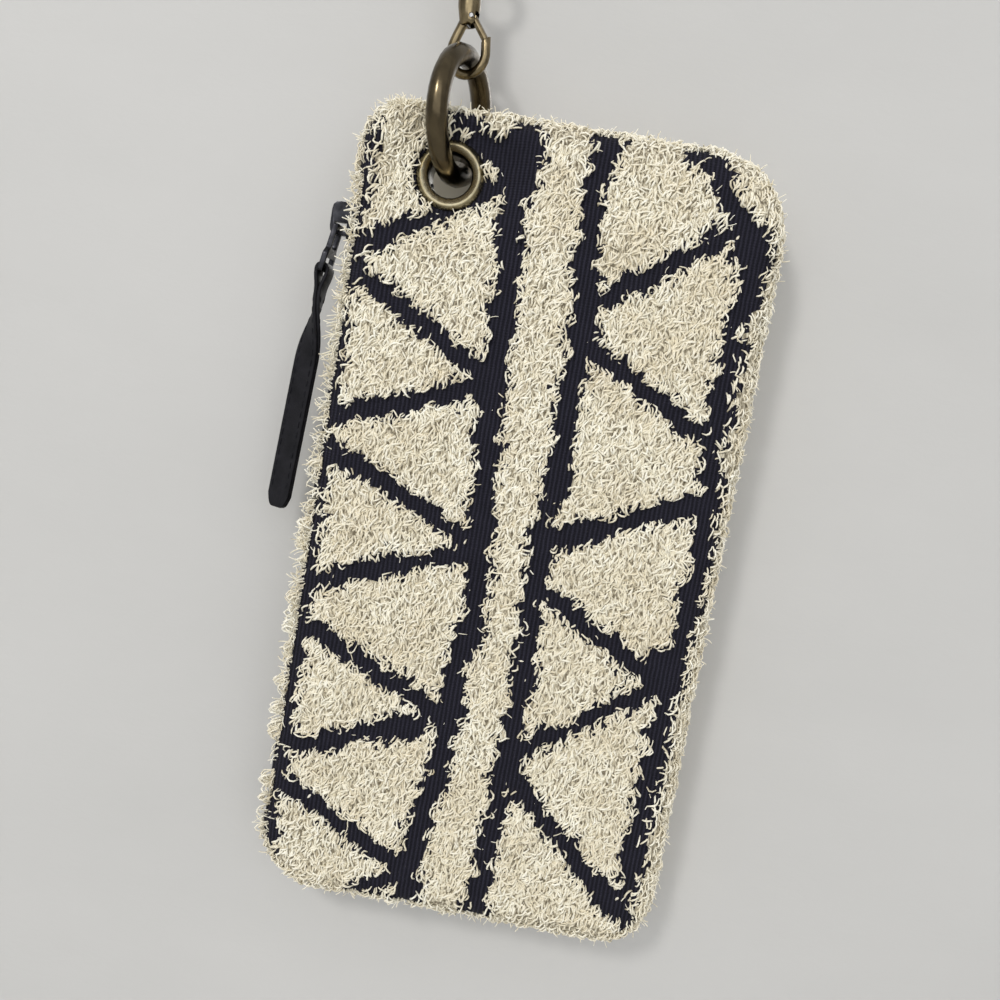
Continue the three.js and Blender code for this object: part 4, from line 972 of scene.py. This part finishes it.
def tab_stitches():
    """Thread along both edges of the tab, on both its sides."""
    count, pitch, length, radius, sunk = 19, 2.6, 1.9, 0.17, 0.22
    proud, row = TAB_LAYER + 0.05, TAB_WIDTH / 2 - 1.0
    heights = -TAB_NECK - 2 - np.arange(count) * pitch
    t = np.linspace(-1, 1, 5)
    path = np.array([
        np.column_stack([face * (proud - sunk * t**4), np.full(len(t), edge * row), z + t * length / 2])
        for face in (-1, 1) for edge in (-1, 1) for z in heights
    ])
    radii = np.full(path.shape[:2], radius * MM)
    return tubes("pull_tab_stitches", hang(path), radii, np.tile([0.0, 1.0, 0.0], (len(path), 1)), 6)


dress(leather_tab(), LEATHER, "leather", "tab", "pull_tab")
dress(tab_stitches(), TAPE_WEAVE, "leather", "tab")


# ---- kept CAD pieces


def smooth_by_angle(limit):
    """A modifier's node group that shades smooth all edges under an angle."""
    group = bpy.data.node_groups.new("smooth_by_angle", "GeometryNodeTree")
    for way in ("INPUT", "OUTPUT"):
        group.interface.new_socket("Geometry", in_out=way, socket_type="NodeSocketGeometry")
    angle = node(group, "GeometryNodeInputMeshEdgeAngle").outputs["Unsigned Angle"]
    sides = {0: angle, 1: math.radians(limit)}
    small = node(group, "FunctionNodeCompare", sides, data_type="FLOAT", operation="LESS_THAN")
    start = node(group, "NodeGroupInput").outputs[0]
    faces = node(group, "GeometryNodeSetShadeSmooth", {"Geometry": start}).outputs["Geometry"]
    both = {"Geometry": faces, "Shade Smooth": small.outputs["Result"]}
    edges = node(group, "GeometryNodeSetShadeSmooth", both, domain="EDGE").outputs["Geometry"]
    node(group, "NodeGroupOutput", {0: edges})
    return group


SMOOTH = smooth_by_angle(46)
WELD_DISTANCE, ROUNDED_FROM_ANGLE = 0.002 * MM, math.radians(35)

# Each kept node's material and the width of its rounded edges in millimetres
KEPT = {
    "swivel_eye": (CLASP, 0.12), "clasp_hook": (CLASP, 0), "clasp_gate": (CLASP, 0.1),
    "gate_pin": (STEEL, 0), "gate_spring": (STEEL, 0), "o_ring": (ANTIQUE, 0), "grommet": (BRASS, 0),
    "grommet_washer": (BRASS, 0), "zip_top_stop_front": (BLACK_METAL, 0.25),
    "zip_top_stop_back": (BLACK_METAL, 0.25), "zip_bottom_stop": (BLACK_METAL, 0.3),
    "zip_slider": (BLACK_METAL, 0.22), "zip_puller": (BLACK_METAL, 0.25),
}
for cad_node, (finish, bevel) in KEPT.items():
    obj = frame["nodes"][cad_node]
    for place in obj.material_slots:
        place.material = finish
    if not obj.material_slots:
        obj.data.materials.append(finish)
    weld = obj.modifiers.new("weld", "WELD")
    weld.merge_threshold = WELD_DISTANCE
    if bevel:
        rounding = obj.modifiers.new("rounding", "BEVEL")
        rounding.width = bevel * MM
        rounding.segments = 2
        rounding.limit_method = "ANGLE"
        rounding.angle_limit = ROUNDED_FROM_ANGLE
    shade = obj.modifiers.new("smooth", "NODES")
    shade.node_group = SMOOTH


# ---- stage, light and camera

scene.view_settings.view_transform = "Standard"
centre = to_world([[WIDTH / 2, 0, -LENGTH / 2]])[0]
FLOOR_Z, FLOOR_SPAN, WALL_SPAN, WALL_TOP = -0.5, (-3, 3), (-1.2, 1.3), 1.0
RING_ROOM, PILE_HALF_THICKNESS = 0.5 * MM, 12.0 * MM
ring_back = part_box("o_ring")[1].y + RING_ROOM
pile_back = GROMMET[1] + PILE_HALF_THICKNESS
pouch_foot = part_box("back_panel")[0].z
wall_slope = (ring_back - pile_back) / (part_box("o_ring")[0].z - pouch_foot)


def on_wall(x, z):
    """A place on the wall, which leans so that the ring and the pouch's lower end both just touch it."""
    return x, pile_back + (z - pouch_foot) * wall_slope, z


def plane(name, place, left, right, low, high, finish):
    """A flat piece of the stage."""
    corners = [place(left, low), place(right, low), place(right, high), place(left, high)]
    obj = new_object(name, np.array(corners), [[0, 1, 2, 3]], smooth=False)
    obj.data.materials.append(finish)
    return obj


def wall_material():
    """Matt paint, seen from the front alone and without a shadow, so that the pouch's back can be seen."""
    made, tree, shader = material("wall_paint", (0.52, 0.51, 0.5), 0.9, specular=0.1)
    rolled = coordinates(tree, (0.5, 1, 1))
    tone = ramp(tree, noise(tree, rolled, 0.02, 4.0), [
        (0.3, (0.506, 0.5, 0.485)), (0.7, (0.53, 0.523, 0.508)),
    ])
    fill(tree, shader, {"Base Color": tone})
    add_bump(tree, shader, noise(tree, rolled, 0.5, 4.0), 0.14, 0.4)
    backfacing = node(tree, "NewGeometry").outputs["Backfacing"]
    shadow = node(tree, "LightPath").outputs["Is Shadow Ray"]
    unseen = node(tree, "Math", {0: backfacing, 1: shadow}, operation="MAXIMUM").outputs[0]
    clear = node(tree, "BsdfTransparent").outputs["BSDF"]
    choose = node(tree, "MixShader", {"Fac": unseen, 1: shader.outputs["BSDF"], 2: clear})
    fill(tree, tree.nodes["Material Output"], {"Surface": choose.outputs["Shader"]})
    return made


FLOOR_PAINT = material("floor_paint", (0.62, 0.62, 0.6), 0.85)[0]
# The wall turns with the ring, so that the pouch never swings through it
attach(plane("wall", on_wall, *WALL_SPAN, FLOOR_Z, WALL_TOP, wall_material()), "ring")
plane("floor", lambda x, y: (x, y, FLOOR_Z), *FLOOR_SPAN, *FLOOR_SPAN, FLOOR_PAINT)


ROOM_STRENGTH, ROOM_COLOUR = 2.6, (0.97, 0.98, 1.0, 1)


def room():
    """A plain room: bright above and round the camera, and darker at the sides."""
    world = bpy.data.worlds.new("room")
    world.use_nodes = True
    tree = world.node_tree
    split = node(tree, "SeparateXYZ", {"Vector": node(tree, "TexCoord").outputs["Generated"]})
    factors = []
    for axis, low, high, stops in (
        ("Z", -0.5, 0.9, [(0.0, 0.5), (1.0, 1.0)]),
        ("Y", -1.0, 1.0, [(0.07, 1.0), (0.13, 0.3), (0.4, 0.3), (0.52, 0.2)]),
    ):
        scale = node(tree, "MapRange", {"From Min": low, "From Max": high, "Value": split.outputs[axis]})
        factors.append(ramp(tree, scale.outputs["Result"], [(place, (value,) * 3) for place, value in stops]))
    strength = node(tree, "Math", {0: multiplied(tree, *factors), 1: ROOM_STRENGTH}, operation="MULTIPLY")
    fill(tree, tree.nodes["Background"], {"Color": ROOM_COLOUR, "Strength": strength.outputs[0]})
    return world


scene.world = room()


def softbox(name, place, size, power, colour):
    """A round lamp that looks at the pouch from a place measured in metres from its middle."""
    lamp = bpy.data.lights.new(name, "AREA")
    lamp.shape, lamp.size, lamp.energy, lamp.color = "DISK", size, power, colour
    obj = placed(name, lamp)
    obj.location = centre + np.array(place)
    obj.rotation_euler = Vector([-p for p in place]).to_track_quat("-Z", "Y").to_euler()


softbox("key", (-0.5, -1.1, 0.72), 0.24, 6.4, (1.0, 0.985, 0.96))
softbox("behind", (0.35, 1.1, 0.6), 0.6, 12, (1.0, 0.99, 0.97))

# The camera's place in millimetres from the pouch's middle, its way and its upward direction
CAMERA_AT, CAMERA_LOOK, CAMERA_UP = (4.8, -247.6, 37.7), (-0.036, 0.992, -0.118), (-0.174, 0.11, 0.979)
camera = bpy.data.cameras.new("camera")
camera.sensor_width, camera.lens = 36, 36
viewer = placed("camera", camera)
forward = Vector(CAMERA_LOOK).normalized()
right = forward.cross(Vector(CAMERA_UP)).normalized()
turn = Matrix((right, right.cross(forward), -forward)).transposed().to_4x4()
viewer.matrix_world = Matrix.Translation(Vector(centre + np.array(CAMERA_AT) * MM)) @ turn
bpy.context.scene.camera = viewer
